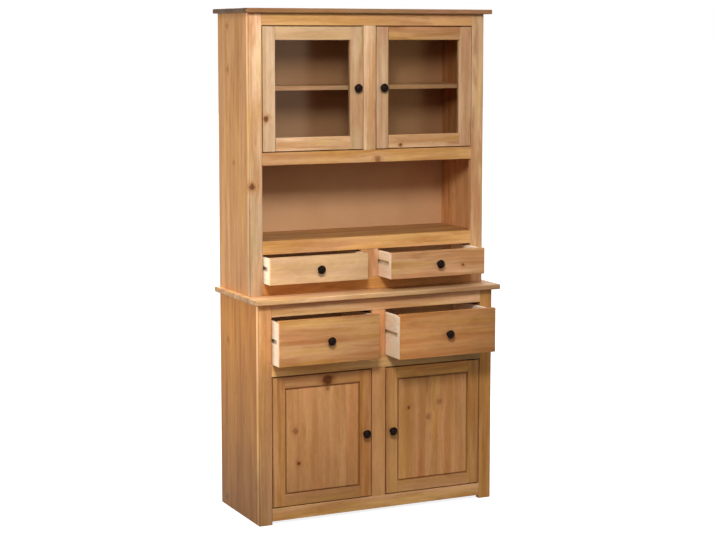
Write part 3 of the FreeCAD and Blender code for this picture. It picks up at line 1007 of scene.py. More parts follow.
@dataclass
class Board:
    """One sawn board: its box, its grain and what is cut from it."""

    box: Box
    grain: Grain
    shade: Shade = Shade()
    staves: int = 1
    edge: float = 0.0009
    rounds: Sequence[Round] = ()
    notches: Sequence[Notch] = ()
    end_tone: float = 0.4
    # Painted shade: faces inside a groove are drawn this much darker
    groove_painted_shade: float = 0.7

    FINE_SEGMENTS, ROUND_SEGMENTS = 2, 4
    # How far a stave's tone and warmth leave the board's, in spreads
    TONES, WARMTHS = (-1.0, 1.0), (-1.0, 2.0)
    # How far a pith is aside of its stave's middle and under or over the face, and how wide its years are
    PITH_ASIDE, PITH_UNDER, YEARS = (-0.05, 0.05), (0.015, 0.06), (0.008, 0.016)
    SEEDS = (0.0, 100.0)

    def axes(self) -> tuple[int, int, int]:
        """Tell the board's own directions from its grain and its size.

        Returns:
            The axes along the fibres, across the face and through the thickness.
        """
        along = self.grain.value
        rest = sorted((axis for axis in range(3) if axis != along), key=lambda axis: -self.box.size[axis])
        return along, rest[0], rest[1]

    def build(self, seed: str) -> bmesh.types.BMesh:
        """Saw the board, cut it, soften its edges and mark its grain.

        Args:
            seed: What sets this board's wood apart from every other.

        Returns:
            A new mesh, which the caller frees.
        """
        work = self.box.block()
        for notch in self.notches:
            notch.carve(work)
        self._soften(work)
        self._mark(work, random.Random(seed))
        return work

    def _soften(self, work: bmesh.types.BMesh) -> None:
        """Round the chosen edges, then break every other sharp edge finely.

        Args:
            work: The board's mesh.
        """
        for radius in sorted({item.radius for item in self.rounds}, reverse=True):
            chosen = [item for item in self.rounds if item.radius == radius]
            edges = [edge for edge in work.edges if any(item.takes(edge) for item in chosen)]
            for face in bevel(work, edges, radius, self.ROUND_SEGMENTS):
                face.smooth = True
            settle(work)
        sharp = [e for e in work.edges if e.is_convex and e.calc_face_angle(0.0) > SHARP]
        for face in bevel(work, sharp, self.edge, self.FINE_SEGMENTS):
            face.smooth = True

    def _mark(self, work: bmesh.types.BMesh, rng: random.Random) -> None:
        """Write the grain onto the points, and each stave's wood and nearest knot onto the faces.

        Args:
            work: The board's mesh.
            rng: The board's own random numbers.
        """
        along, across, deep = self.axes()
        centre = self.box.centre
        width = self.box.size[across]
        held = [knot for knot in KNOTS if self.box.holds(Vector(knot.at))]
        knots = [Vector(knot.at) - centre for knot in held]
        for number in range(1, self.staves):
            cut_round(work, across, self.box.low[across] + width * number / self.staves)
        places = sorted(point[along] for point in knots)
        for first, second in zip(places, places[1:]):
            cut_round(work, along, centre[along] + (first + second) / 2)
        grain = work.verts.layers.float_vector.new(GRAIN)
        fade = work.verts.layers.float.new(PAINTED_LIGHT_FADE)
        for vert in work.verts:
            local = vert.co - centre
            vert[grain] = (local[along], local[across], local[deep])
            # Painted light and shade: the tone brightens towards one end of the board and darkens towards
            # the other
            vert[fade] = 1.0 + self.shade.fade * 2.0 * local[along] / self.box.size[along]
        staves = [self._stave(rng, width * ((n + 0.5) / self.staves - 0.5)) for n in range(self.staves)]
        names = (STAVE, PITH, KNOT, FIGURE)
        stave, pith, knot, figure = (work.faces.layers.float_vector.new(name) for name in names)
        for face in work.faces:
            middle = face.calc_center_median() - centre
            number = min(int((middle[across] / width + 0.5) * self.staves), self.staves - 1)
            (tone, warmth, seed), face[pith] = staves[max(number, 0)]
            face[stave] = (tone * self._darkening(face, along), warmth, seed)
            near = self._nearest(middle, knots, along, across, width / self.staves)
            depth = 0.0
            if near >= 0:
                face[knot] = (knots[near][along], knots[near][across], held[near].radius)
                depth = held[near].depth
            face[figure] = (self.shade.figure, depth, self.shade.hue)

    def _darkening(self, face: bmesh.types.BMFace, along: int) -> float:
        """Tell how much darker a face is drawn: on end grain, in grooves as painted shade, and on rounded
        edges by their tone.

        Args:
            face: A face of the finished board.
            along: The axis of the fibres.

        Returns:
            What the board's tone is multiplied by.
        """
        if abs(face.normal[along]) > FACING:
            return self.end_tone
        spaces = [notch.space for notch in self.notches]
        if all(any(space.holds(vert.co, self.edge) for space in spaces) for vert in face.verts):
            return self.groove_painted_shade
        return min((item.tone for item in self.rounds if item.owns(face)), default=1.0)

    @staticmethod
    def _nearest(middle: Vector, knots: list[Vector], along: int, across: int, width: float) -> int:
        """Give the number of the nearest knot that touches a face's stave, or -1."""
        near = [n for n, knot in enumerate(knots) if abs(knot[across] - middle[across]) < width]
        return min(near, key=lambda n: abs(knots[n][along] - middle[along]), default=-1)

    def _stave(self, rng: random.Random, across: float) -> tuple[Triple, Triple]:
        """Pick one stave's wood.

        Args:
            rng: The board's own random numbers.
            across: Where the stave's middle is.

        Returns:
            Its tone, warmth and seed, and its pith's place and the width of its years.
        """
        tone = self.shade.tone * (1.0 + rng.uniform(*self.TONES) * self.shade.spread)
        warmth = max(0.0, self.shade.warmth + rng.uniform(*self.WARMTHS) * self.shade.spread)
        aside = across + rng.uniform(*self.PITH_ASIDE)
        under = rng.choice((-1.0, 1.0)) * rng.uniform(*self.PITH_UNDER)
        seed = rng.uniform(*self.SEEDS)
        return (tone, warmth, seed), (aside, under, rng.uniform(*self.YEARS))


class Bench:
    """Where pieces are put together from boards or turned shapes and fitted to the frame."""

    # Digits that the heights of solids side by side have in common
    DIGITS = 4

    def __init__(self, nodes: dict[str, bpy.types.Object]) -> None:
        """Keep the CAD nodes, by name."""
        self.nodes = nodes

    def solids(self, node: str) -> list[Box]:
        """Find a node's separate solids.

        Args:
            node: The CAD node.

        Returns:
            Their boxes, from the lowest up and from left to right.
        """
        work = bmesh.new()
        work.from_mesh(self.nodes[node].data)
        bmesh.ops.remove_doubles(work, verts=work.verts, dist=WELD)
        waiting = set(work.verts)
        boxes = []
        while waiting:
            grown = {waiting.pop()}
            edge = list(grown)
            while edge:
                beside = {link.other_vert(vert) for vert in edge for link in vert.link_edges} - grown
                grown |= beside
                edge = list(beside)
            waiting -= grown
            corners = [vert.co for vert in grown]
            low, high = (Vector(map(pick, *corners)) for pick in (min, max))
            boxes.append(Box(low, high))
        work.free()
        return sorted(boxes, key=lambda box: (round(box.low.z, self.DIGITS), box.low.x))

    def join(self, node: str, boards: Sequence[Board], finish: Finish) -> None:
        """Make one piece of several boards and put it in a node's place.

        Args:
            node: The CAD node that the piece stands for.
            boards: The boards of the piece.
            finish: The finish of all of them.
        """
        whole = bmesh.new()
        for number, board in enumerate(boards):
            sawn = board.build(f"{node} {number}")
            loose = bpy.data.meshes.new("loose_board")
            sawn.to_mesh(loose)
            sawn.free()
            whole.from_mesh(loose)
            bpy.data.meshes.remove(loose)
        self.place(node, whole, [finish])

    def place(self, node: str, work: bmesh.types.BMesh, finishes: Sequence[Finish]) -> None:
        """Turn a mesh into a piece that stands for a node and rides on its body.

        Args:
            node: The CAD node that the piece stands for.
            work: The mesh, which is freed.
            finishes: The finishes that its faces' material numbers mean; the first gives the slot.
        """
        piece = finished(f"{node}_finished", work, finishes)
        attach(piece, self.nodes[node]["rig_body"])
        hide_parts(node)
        LOG.info("%s: %d faces in %s", piece.name, len(piece.data.polygons), finishes[0].slot)

    def keep(self, node: str, finish: Finish) -> None:
        """Keep a CAD node as it is, in a better finish.

        Args:
            node: The CAD node.
            finish: Its finish.
        """
        for slot in self.nodes[node].material_slots:
            slot.material = finish.material()
        LOG.info("%s: kept, in %s", node, finish.slot)


# Sub-assemblies


@dataclass
class Cabinet:
    """A carcass with a face frame before it: the hutch or the base."""

    bench: Bench
    name: str
    stiles: tuple[Shade, Shade]
    rails: Sequence[Shade]
    mullions: Sequence[Shade]
    sides: tuple[Shade, Shade]
    top: Shade
    boards: dict[str, Shade]
    back: Shade = Shade(spread=0.02)
    corner_round: float = 0.005
    # Painted shade on the stiles' rounded outer corners, which dims their highlight
    corner_painted_shade: float = 0.66
    frame_edge: float = 0.0011
    back_edge: float = 0.0004
    top_round: float = 0.004
    end_tone: float = 0.3
    side_staves: int = 5
    top_staves: int = 5
    board_staves: int = 4

    def build(self) -> None:
        """Make every fixed piece of the cabinet."""
        self.face_frame()
        self.carcass()
        for node, shade in self.boards.items():
            self._plain(node, shade, self.board_staves, WAXED_PINE)
        self._plain("drawer_runners", Shade(), 1, RAW_PINE)

    def face_frame(self) -> None:
        """Make the stiles, whose outer corners are rounded and darkened as painted shade, the rails and the
        mullions.
        """
        frame = {
            "stiles": (Grain.UPRIGHT, self.stiles),
            "rails": (Grain.LEVEL, self.rails),
            "mullions": (Grain.UPRIGHT, self.mullions),
        }
        for kind, (grain, shades) in frame.items():
            name = f"{self.name}_{kind}"
            boxes = self.bench.solids(name)
            boards = [Board(box, grain, shade, edge=self.frame_edge) for box, shade in zip(boxes, shades)]
            if kind == "stiles":
                for board, side in zip(boards, (Side.LEFT, Side.RIGHT)):
                    board.rounds = [Round(self.corner_round, Side.FRONT, side, self.corner_painted_shade)]
            self.bench.join(name, boards, WAXED_PINE)

    def carcass(self) -> None:
        """Make the sides, the top board and the back panel."""
        for hand, shade in zip(("left", "right"), self.sides):
            name = f"{self.name}_side_{hand}"
            self.bench.join(name, [Board(Box.of(name), Grain.UPRIGHT, shade, self.side_staves)], WAXED_PINE)
        name = f"{self.name}_top_board"
        rounds = [Round(self.top_round, Side.FRONT)]
        for side in (Side.LEFT, Side.RIGHT):
            rounds += [Round(self.top_round, side, edge, self.end_tone) for edge in (Side.TOP, Side.BOTTOM)]
        top = Board(
            Box.of(name),
            Grain.LEVEL,
            self.top,
            self.top_staves,
            rounds=rounds,
            end_tone=self.end_tone,
        )
        self.bench.join(name, [top], WAXED_PINE)
        name = f"{self.name}_back_panel"
        sheet = Board(Box.of(name), Grain.UPRIGHT, self.back, edge=self.back_edge)
        self.bench.join(name, [sheet], BACK_BOARD)

    def _plain(self, kind: str, shade: Shade, staves: int, finish: PineFinish) -> None:
        """Make plain boards of a node's solids, with the grain along each one's longest side.

        Args:
            kind: The node's name without the cabinet's.
            shade: The look of the boards.
            staves: How many staves each has.
            finish: Their finish.
        """
        node = f"{self.name}_{kind}"
        boards = []
        for box in self.bench.solids(node):
            longest = Grain(max(range(3), key=lambda axis: box.size[axis]))
            boards.append(Board(box, longest, shade, staves))
        self.bench.join(node, boards, finish)


@dataclass
class Knob:
    """A turned mushroom knob on its rose, with the head of its screw behind the board."""

    bench: Bench
    node: str
    length: float = 0.026
    rim: float = 0.016
    radius: float = 0.015
    neck: float = 0.0065
    rose: float = 0.009
    rose_thickness: float = 0.003
    lip: float = 0.0009
    crown_steps: int = 7
    head: float = 0.004
    head_thickness: float = 0.0025

    # Heights of the waist, flare and bell under the rim, as shares of the rim's, and the bell's radius
    WAIST, FLARE, BELL, BELL_RADIUS = 0.45, 0.62, 0.80, 0.72
    # The domed head of the screw, as shares of its radius and thickness
    DOME = ((0.0, 0.0), (1.0, 0.0), (1.0, 0.35), (0.75, 0.8), (0.0, 1.0))

    def build(self) -> None:
        """Turn the knob and its screw head."""
        box = Box.of(self.node)
        face = Vector((box.centre.x, box.low.y + self.length, box.centre.z))
        behind = Vector((box.centre.x, box.high.y - self.head_thickness, box.centre.z))
        screw = [(self.head * radius, self.head_thickness * height) for radius, height in self.DOME]
        work = bmesh.new()
        turn(work, self._profile(), face, Side.FRONT.vector)
        for made in turn(work, screw, behind, Side.REAR.vector):
            made.material_index = 1
        self.bench.place(self.node, work, [DARK_KNOB, PIVOT_STEEL])

    def _profile(self) -> list[Pair]:
        """Draw the knob from its rose to its crown, which is an arc.

        Returns:
            Points as (radius, height).
        """
        rise = self.length - self.rim
        bow = (self.radius**2 + rise**2) / (2 * rise)
        sweep = math.asin(self.radius / bow)
        angles = [sweep * (1 - step / self.crown_steps) for step in range(1, self.crown_steps + 1)]
        crown = [(bow * math.sin(angle), self.length - bow * (1 - math.cos(angle))) for angle in angles]
        return [
            (0.0, 0.0),
            (self.rose, 0.0),
            (self.rose, self.rose_thickness - self.lip),
            (self.rose - self.lip, self.rose_thickness),
            (self.neck, self.rose_thickness + self.lip),
            (self.neck - self.lip / 2, self.rim * self.WAIST),
            (self.neck + self.lip, self.rim * self.FLARE),
            (self.radius * self.BELL_RADIUS, self.rim * self.BELL),
            (self.radius - self.lip, self.rim - self.lip),
            (self.radius, self.rim),
            *crown,
        ]


@dataclass
class Door:
    """A framed door with a knob, on two pins: two stiles that run through, and two rails between them."""

    bench: Bench
    name: str
    stiles: tuple[Shade, Shade]
    rails: tuple[Shade, Shade]
    stile: float = 0.046
    rail: float = 0.046
    outer_round: float = 0.0016
    # Painted shade on the rounded outer edge, which darkens the gap round the door
    edge_painted_shade: float = 0.6

    GRAINS = (Grain.UPRIGHT, Grain.UPRIGHT, Grain.LEVEL, Grain.LEVEL)

    def build(self) -> None:
        """Make the frame, what it holds, the knob and the pins."""
        node = f"{self.name}_frame"
        box = Box.of(node)
        self.bench.join(node, self._frame(box), WAXED_PINE)
        self._hold()
        Knob(self.bench, f"{self.name}_knob").build()
        self.bench.keep(f"{self.name}_pins", PIVOT_STEEL)

    def _frame(self, box: Box) -> list[Board]:
        """Saw the frame that fills a box."""
        raise NotImplementedError

    def _hold(self) -> None:
        """Make what the frame holds."""
        raise NotImplementedError

    def _members(self, box: Box) -> list[Board]:
        """Saw the stiles and rails, with painted shade on the rounded edge round the whole door.

        Args:
            box: The box of the door.

        Returns:
            The left and right stiles and the lower and upper rails.
        """
        boards = []
        parts = box.rim(self.stile, self.rail)
        for part, grain, shade in zip(parts, self.GRAINS, (*self.stiles, *self.rails)):
            gaps = {
                Side.LEFT: part.low.x - box.low.x,
                Side.RIGHT: box.high.x - part.high.x,
                Side.BOTTOM: part.low.z - box.low.z,
                Side.TOP: box.high.z - part.high.z,
            }
            outer = [side for side, gap in gaps.items() if gap < WELD]
            rounds = [Round(self.outer_round, Side.FRONT, side, self.edge_painted_shade) for side in outer]
            boards.append(Board(part, grain, shade, rounds=rounds))
        return boards


@dataclass
class GlassDoor(Door):
    """A glazed door: rebated stiles and rails, a pane, and the beads that hold it."""

    bead: Shade = Shade(0.95)
    rebate: float = 0.009
    lip: float = 0.008
    pane: float = 0.004
    inner_round: float = 0.003
    pane_edge: float = 0.0005

    # Where the opening is from each stile and rail
    INWARD = (Side.RIGHT, Side.LEFT, Side.TOP, Side.BOTTOM)

    def _frame(self, box: Box) -> list[Board]:
        """Rebate the stiles and rails, and saw the four beads behind the pane.

        Args:
            box: The box of the door.

        Returns:
            The stiles, the rails and the beads.
        """
        beside, over = self.stile - self.rebate, self.rail - self.rebate
        space = box.reset(
            x0=box.low.x + beside,
            x1=box.high.x - beside,
            y0=box.low.y + self.lip,
            z0=box.low.z + over,
            z1=box.high.z - over,
        )
        boards = self._members(box)
        for board, side in zip(boards, self.INWARD):
            board.rounds = [Round(self.inner_round, Side.FRONT, side), *board.rounds]
            board.notches = [Notch(board.box.shared(space), Side.REAR)]
        strips = space.reset(y0=space.low.y + self.pane).rim(self.rebate, self.rebate)
        return boards + [Board(strip, grain, self.bead) for strip, grain in zip(strips, self.GRAINS)]

    def _hold(self) -> None:
        """Cut the pane and grind its edges."""
        node = f"{self.name}_pane"
        work = Box.of(node).block()
        bevel(work, work.edges[:], self.pane_edge, segments=1)
        self.bench.place(node, work, [CLEAR_GLASS])


@dataclass
class PanelDoor(Door):
    """A panelled door: stiles and rails round a panel whose field stands almost flush."""

    stile: float = 0.044
    rail: float = 0.040
    outer_round: float = 0.0018
    edge_painted_shade: float = 0.55
    panel: Shade = Shade()
    frame_edge: float = 0.0006
    reveal: float = 0.005
    tongue_back: float = 0.006
    tongue: float = 0.007
    tongue_reach: float = 0.007
    field_round: float = 0.003
    # Painted shade on the field's rounded edge beside the groove
    field_painted_shade: float = 0.8
    panel_staves: int = 5

    def _frame(self, box: Box) -> list[Board]:
        """Saw the stiles and rails, with crisp inner edges.

        Args:
            box: The box of the door.

        Returns:
            The stiles and the rails.
        """
        boards = self._members(box)
        for board in boards:
            board.edge = self.frame_edge
        return boards

    def _hold(self) -> None:
        """Rebate a panel all round, front and back, so that a tongue is left."""
        node = f"{self.name}_panel"
        whole = Box.of(node)
        reach = self.tongue_reach + self.reveal
        front = Box.of(f"{self.name}_frame").low.y + self.tongue_back
        cuts = [Notch(strip, Side.FRONT) for strip in whole.reset(y1=front).rim(reach, reach)]
        cuts += [Notch(strip, Side.REAR) for strip in whole.reset(y0=front + self.tongue).rim(reach, reach)]
        soft = Round(self.field_round, Side.FRONT, tone=self.field_painted_shade)
        panel = Board(whole, Grain.UPRIGHT, self.panel, self.panel_staves, rounds=(soft,), notches=cuts)
        self.bench.join(node, [panel], WAXED_PINE)


@dataclass
class Drawer:
    """A drawer: a front lapped over two grooved sides, a back, a thin bottom and a knob."""

    bench: Bench
    name: str
    front: Shade
    sides: Shade = Shade(1.04, 0.2)
    # The back is drawn darker and warmer than the sides: painted shade inside the drawer
    back: Shade = Shade(0.6, 0.5)
    bottom: Shade = Shade(1.12, spread=0.02)
    lip: float = 0.008
    side_drop: float = 0.008
    side: float = 0.012
    side_staves: int = 2
    groove_depth: float = 0.007
    groove_height: float = 0.014
    groove_start: float = 0.026
    groove_rise: float = 0.082
    front_round: float = 0.0018
    # Painted shade on the front's rounded edges, which dims their highlight
    edge_painted_shade: float = 0.72
    # The front's lapped ends are drawn lighter than its face: a painted highlight where the ends catch the
    # light
    end_tone: float = 1.3
    bottom_edge: float = 0.0004

    def build(self) -> None:
        """Make every piece of the drawer."""
        self._front()
        self._sides()
        back = f"{self.name}_back"
        self.bench.join(back, [Board(Box.of(back), Grain.LEVEL, self.back)], RAW_PINE)
        bottom = f"{self.name}_bottom"
        sheet = Board(Box.of(bottom), Grain.LEVEL, self.bottom, edge=self.bottom_edge)
        self.bench.join(bottom, [sheet], BACK_BOARD)
        Knob(self.bench, f"{self.name}_knob").build()

    def _front(self) -> None:
        """Saw the front and lap its ends for the sides."""
        node = f"{self.name}_front"
        box = Box.of(node)
        lap = box.reset(y0=box.low.y + self.lip, z1=box.high.z - self.side_drop)
        ends = (lap.reset(x1=box.low.x + self.side), lap.reset(x0=box.high.x - self.side))
        laps = [Notch(end, Side.REAR) for end in ends]
        soft = Round(self.front_round, Side.FRONT, tone=self.edge_painted_shade)
        board = Board(box, Grain.LEVEL, self.front, rounds=(soft,), notches=laps, end_tone=self.end_tone)
        self.bench.join(node, [board], WAXED_PINE)

    def _sides(self) -> None:
        """Saw the sides and groove them for the runners, up to a stop behind the front."""
        node = f"{self.name}_sides"
        start = Box.of(f"{self.name}_front").low.y + self.groove_start
        boards = []
        for box, mouth in zip(self.bench.solids(node), (Side.LEFT, Side.RIGHT)):
            low = box.low.z + self.groove_rise - self.groove_height / 2
            outside = {"x1": box.low.x + self.groove_depth}
            if mouth is Side.RIGHT:
                outside = {"x0": box.high.x - self.groove_depth}
            groove = box.reset(y0=start, z0=low, z1=low + self.groove_height, **outside)
            cuts = [Notch(groove, mouth)]
            boards.append(Board(box, Grain.DEEP, self.sides, self.side_staves, notches=cuts))
        self.bench.join(node, boards, RAW_PINE)


@dataclass
class PivotBushes:
    """The collared bushes in the rails that the doors' pins turn in."""

    bench: Bench
    node: str = "pivot_bushes"
    doors_abreast: int = 2
    bore: float = 0.00255
    collar: float = 0.0055
    collar_thickness: float = 0.0005

    def build(self) -> None:
        """Turn each bush with its collar on the rail's face that the door swings past."""
        work = bmesh.new()
        for number, box in enumerate(self.bench.solids(self.node)):
            upward = number // self.doors_abreast % 2 == 0
            axis = Side.TOP.vector if upward else Side.BOTTOM.vector
            depth = box.size.z
            foot = box.centre - axis * depth / 2
            radius = box.size.x / 2
            profile = [
                (self.bore, 0.0),
                (radius, 0.0),
                (radius, depth),
                (self.collar, depth),
                (self.collar, depth + self.collar_thickness),
                (self.bore, depth + self.collar_thickness),
                (self.bore, 0.0),
            ]
            turn(work, profile, foot, axis)
        self.bench.place(self.node, work, [PIVOT_STEEL])


# Studio


@dataclass(frozen=True)
class FloorFinish(Finish):
    """White that keeps a soft shadow, and that is a little greyer near the object."""

    slot: str = "floor"
    matte: float = 0.15
    shadowed: float = 0.4
    glow: Pair = (0.86, 1.0)
    glow_reach: Pair = (0.7, 2.6)

    def _fill(self, recipe: Recipe) -> None:
        """Throw back little light, and show a glow with the shadow in it.

        Args:
            recipe: The empty recipe.
        """
        matte, dim = (
            recipe.take("ShaderNodeBsdfDiffuse", inputs={"Color": grey(level)})
            for level in (self.matte, self.shadowed)
        )
        away = recipe.take("ShaderNodeVectorMath", {"operation": "LENGTH"}, {0: recipe.place()}, "Value")
        near, far = (grey(level) for level in self.glow)
        glow = recipe.glow(recipe.blend(away.step(*self.glow_reach), near, far))
        shown = recipe.take("ShaderNodeAddShader", inputs={0: dim, 1: glow})
        recipe.close(recipe.either(recipe.seen(), matte, shown))


@dataclass(frozen=True)
class StripFinish(Finish):
    """Pale upright strips with soft edges, on black."""

    slot: str
    strips: Sequence[tuple[float, float, Colour]]
    soft: float = 0.035

    def _fill(self, recipe: Recipe) -> None:
        """Paint each strip from its start to its end along the X axis.

        Args:
            recipe: The empty recipe.
        """
        across = recipe.split(recipe.place())[0]
        colour: Value = grey(0.0)
        for start, end, pale in self.strips:
            rise = across.step(start - self.soft, start + self.soft)
            fall = across.step(end + self.soft, end - self.soft)
            colour = recipe.blend(rise * fall, colour, pale)
        recipe.close(recipe.glow(colour))


@dataclass(frozen=True)
class Lamp:
    """A soft square lamp that is aimed at a point."""

    name: str
    place: Triple
    aim: Triple
    size: float
    power: float

    def build(self) -> None:
        """Hang the lamp."""
        light = bpy.data.lights.new(self.name, "AREA")
        light.shape = "SQUARE"
        light.size = self.size
        light.energy = self.power
        lamp = into_scene(self.name, light)
        lamp.location = self.place
        lamp.visible_camera = False
        lamp.rotation_euler = (Vector(self.aim) - Vector(self.place)).to_track_quat("-Z", "Y").to_euler()


@dataclass(frozen=True)
class Card:
    """An upright card that only reflections show, so that the panes mirror pale strips and a dark rest."""

    name: str
    place: Triple
    width: float
    height: float
    finish: StripFinish

    def build(self) -> None:
        """Stand the card where the panes mirror it."""
        upright = Matrix.Translation(Vector(self.place)) @ Matrix.Rotation(math.radians(90.0), 4, "X")
        size = Matrix.Diagonal((self.width, self.height, 1.0, 1.0))
        work = bmesh.new()
        bmesh.ops.create_grid(work, x_segments=1, y_segments=1, size=0.5, matrix=upright @ size)
        card = finished(self.name, work, [self.finish])
        for kind in ("camera", "diffuse", "transmission", "volume_scatter", "shadow"):
            setattr(card, f"visible_{kind}", False)


@dataclass
class Studio:
    """A pale floor, soft lamps, a white surround and the photograph's camera."""

    lens: float = 86.21
    sensor: float = 36.0
    shift: float = -0.05
    stand: Triple = (-2.585, -5.373, 1.651)
    azimuth: float = -25.445
    elevation: float = 6.542
    ambient: float = 0.55
    floor_half: float = 30.0
    lamps: Sequence[Lamp] = (
        Lamp("key_lamp", (-1.0, -2.0, 2.3), (0.0, 0.0, 1.1), 0.5, 40.0),
        Lamp("left_lamp", (-2.2, 0.4, 1.2), (-0.45, 0.1, 1.1), 1.0, 23.0),
        Lamp("right_lamp", (2.4, 0.9, 1.9), (0.0, 0.0, 0.9), 1.6, 45.0),
        Lamp("rear_lamp", (1.0, 2.8, 2.2), (0.0, 0.0, 0.9), 1.6, 65.0),
    )
    card: Card = Card(
        "mirrored_card",
        place=(1.0, -2.0, 1.43),
        width=1.4,
        height=1.0,
        finish=StripFinish(
            "mirrored_card",
            strips=((0.34, 0.64, srgb(255, 220, 184)), (0.99, 1.24, srgb(216, 170, 116))),
        ),
    )

    def build(self) -> None:
        """Set up the whole studio."""
        bpy.context.scene.view_settings.view_transform = "Standard"
        self._floor()
        self._surround()
        for lamp in self.lamps:
            lamp.build()
        self.card.build()
        self._camera()

    def _floor(self) -> None:
        """Lay the floor."""
        work = bmesh.new()
        bmesh.ops.create_grid(work, x_segments=1, y_segments=1, size=self.floor_half)
        finished("floor", work, [FloorFinish()])

    def _surround(self) -> None:
        """Fill the room with even light, and show it as white."""
        world = bpy.data.worlds.new("surround")
        bpy.context.scene.world = world
        recipe = Recipe(world)
        light, white = (
            recipe.take("ShaderNodeBackground", inputs={"Color": grey(1.0), "Strength": strength})
            for strength in (self.ambient, 1.0)
        )
        recipe.close(recipe.either(recipe.seen(), light, white), "ShaderNodeOutputWorld")

    def _camera(self) -> None:
        """Stand the camera where the photograph was taken from."""
        turned, raised = math.radians(self.azimuth), math.radians(self.elevation)
        level = math.cos(raised)
        back = Vector((math.sin(turned) * level, -math.cos(turned) * level, math.sin(raised)))
        data = bpy.data.cameras.new("camera")
        data.lens = self.lens
        data.sensor_width = self.sensor
        data.shift_y = self.shift
        camera = into_scene("camera", data)
        camera.location = self.stand
        camera.rotation_euler = (-back).to_track_quat("-Z", "Y").to_euler()
        bpy.context.scene.camera = camera


# The highboard, whose shades go from left to right and from low to high


# The tones also carry painted shade: the base is drawn darker than the hutch, and the right stiles darker
# than the left ones
def hutch(bench: Bench) -> Cabinet:
    """Describe the hutch.

    Args:
        bench: Where it is made.

    Returns:
        The hutch, which isn't built yet.
    """
    return Cabinet(
        bench,
        "hutch",
        stiles=(Shade(1.0, 0.14, figure=1.16, hue=0.08, fade=0.3), Shade(0.86, 0.24, hue=0.06, fade=-0.1)),
        rails=(
            Shade(0.9, 0.7, hue=0.2),
            Shade(0.99, 0.49, hue=0.2),
            Shade(0.89, 0.44, figure=1.1, hue=0.14),
            Shade(0.86, 0.54, figure=0.66, hue=0.14),
        ),
        mullions=(Shade(0.95, 0.32), Shade(1.0, figure=1.25)),
        # The left side is drawn darker, as painted shade, and the right one lighter, as painted light on its
        # inner face in the niche
        sides=(
            Shade(0.6, 0.62, spread=0.03, figure=0.78, hue=0.12, fade=-0.05),
            Shade(0.82, 0.63, spread=0.03, figure=0.76),
        ),
        top=Shade(0.47, 0.31, hue=-0.08),
        # The inner boards are drawn darker, as painted shade inside the cabinet; the glazed shelf is drawn
        # lighter, as painted light on its front edge
        boards={
            "partition": Shade(0.8, 0.4),
            "cabinet_floor": Shade(0.7, 0.32),
            "niche_shelf": Shade(0.6, 0.61, hue=0.12),
            "shelf": Shade(1.38, fade=-0.1),
        },
    )


def base(bench: Bench) -> Cabinet:
    """Describe the base.

    Args:
        bench: Where it is made.

    Returns:
        The base, which isn't built yet.
    """
    return Cabinet(
        bench,
        "base",
        stiles=(Shade(0.99, 0.49, figure=0.87, hue=0.06, fade=0.35), Shade(0.68, 0.75, hue=0.14)),
        # The middle rail's fade darkens it towards the right: painted shadow under the lower right drawer
        rails=(Shade(0.89, 0.43, hue=0.12), Shade(1.03, 0.33, hue=0.2, fade=-0.5), Shade(0.95, 0.35)),
        mullions=(Shade(0.79, 0.78, figure=0.4, hue=0.06), Shade(0.87, 0.64)),
        # The left side is drawn darker than the right one, as painted shade
        sides=(
            Shade(0.49, 1.0, spread=0.03, figure=0.85, hue=0.2, fade=0.34),
            Shade(0.7, 0.6, spread=0.03),
        ),
        top=Shade(0.93, 0.24, hue=0.04, fade=-0.34),
        # The inner boards are drawn darker, as painted shade inside the cabinet
        boards={kind: Shade(0.8, 0.4) for kind in ("partition", "bottom_board", "shelves")},
        end_tone=0.5,
    )


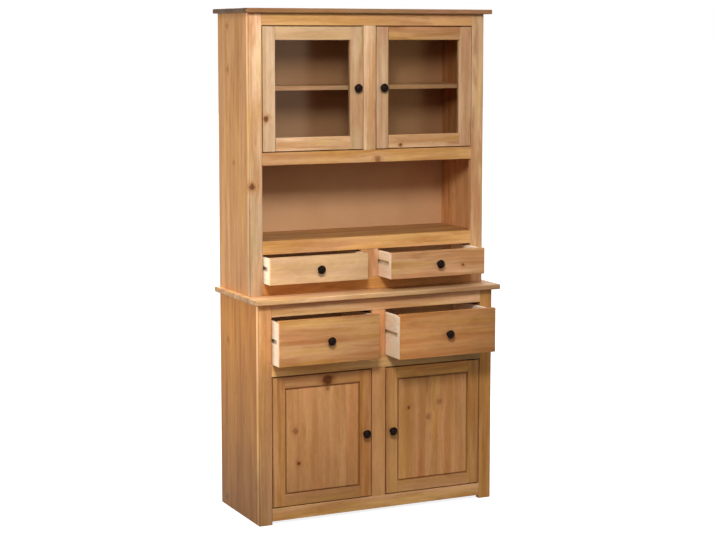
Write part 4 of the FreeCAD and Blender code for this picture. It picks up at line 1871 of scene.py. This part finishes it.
def doors(bench: Bench) -> list[Door]:
    """Describe the four doors.

    Args:
        bench: Where they are made.

    Returns:
        The doors, which aren't built yet.
    """
    return [
        GlassDoor(
            bench,
            "glass_door_left",
            stiles=(Shade(0.83, figure=0.63, hue=0.02), Shade(0.81, hue=-0.02)),
            rails=(Shade(1.0, figure=1.2), Shade(0.8, 0.15, figure=0.46, hue=0.08)),
        ),
        GlassDoor(
            bench,
            "glass_door_right",
            stiles=(Shade(0.79, 0.01, hue=-0.04), Shade(0.78, 0.22, figure=0.85, hue=-0.02)),
            rails=(Shade(0.91, 0.32, hue=0.08), Shade(0.66, 0.51, figure=1.26, hue=-0.02)),
        ),
        PanelDoor(
            bench,
            "panel_door_left",
            stiles=(Shade(0.86, 0.7, hue=0.12), Shade(0.7, 0.79, hue=0.04)),
            rails=(Shade(0.72, 0.61, figure=0.71, hue=0.1), Shade(0.66, 0.7)),
            panel=Shade(0.78, 0.73, spread=0.02, figure=0.59, hue=-0.02, fade=0.16),
        ),
        PanelDoor(
            bench,
            "panel_door_right",
            stiles=(Shade(0.75, 0.72, hue=0.12), Shade(0.69, 0.63, figure=1.06, hue=0.14)),
            rails=(Shade(0.73, 0.67, figure=0.59, hue=0.06), Shade(0.88, 0.72, figure=0.9, hue=0.2)),
            panel=Shade(0.76, 0.73, spread=0.02, figure=0.7, hue=0.04, fade=-0.08),
        ),
    ]


def drawers(bench: Bench) -> list[Drawer]:
    """Describe the four drawers; the sides of the upper ones reach nearer to the top of the front.

    Args:
        bench: Where they are made.

    Returns:
        The drawers, which aren't built yet.
    """
    upper = {"side_drop": 0.003, "groove_rise": 0.052}
    return [
        Drawer(bench, "upper_drawer_left", Shade(1.05, 0.18, figure=0.4, hue=0.06, fade=-0.16), **upper),
        Drawer(bench, "upper_drawer_right", Shade(0.86, 0.41, hue=0.04, fade=0.01), **upper),
        Drawer(bench, "lower_drawer_left", Shade(0.9, 0.61, figure=1.1, hue=0.1, fade=-0.17)),
        Drawer(bench, "lower_drawer_right", Shade(0.73, 0.85, figure=0.9, hue=0.02, fade=-0.2)),
    ]


def main() -> None:
    """Dress the highboard and set up the studio."""
    logging.basicConfig(level=logging.INFO, format="%(message)s")
    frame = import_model()
    bench = Bench(frame["nodes"])
    parts = [hutch(bench), base(bench), *doors(bench), *drawers(bench), PivotBushes(bench), Studio()]
    for part in parts:
        part.build()


if __name__ == "__main__":
    main()
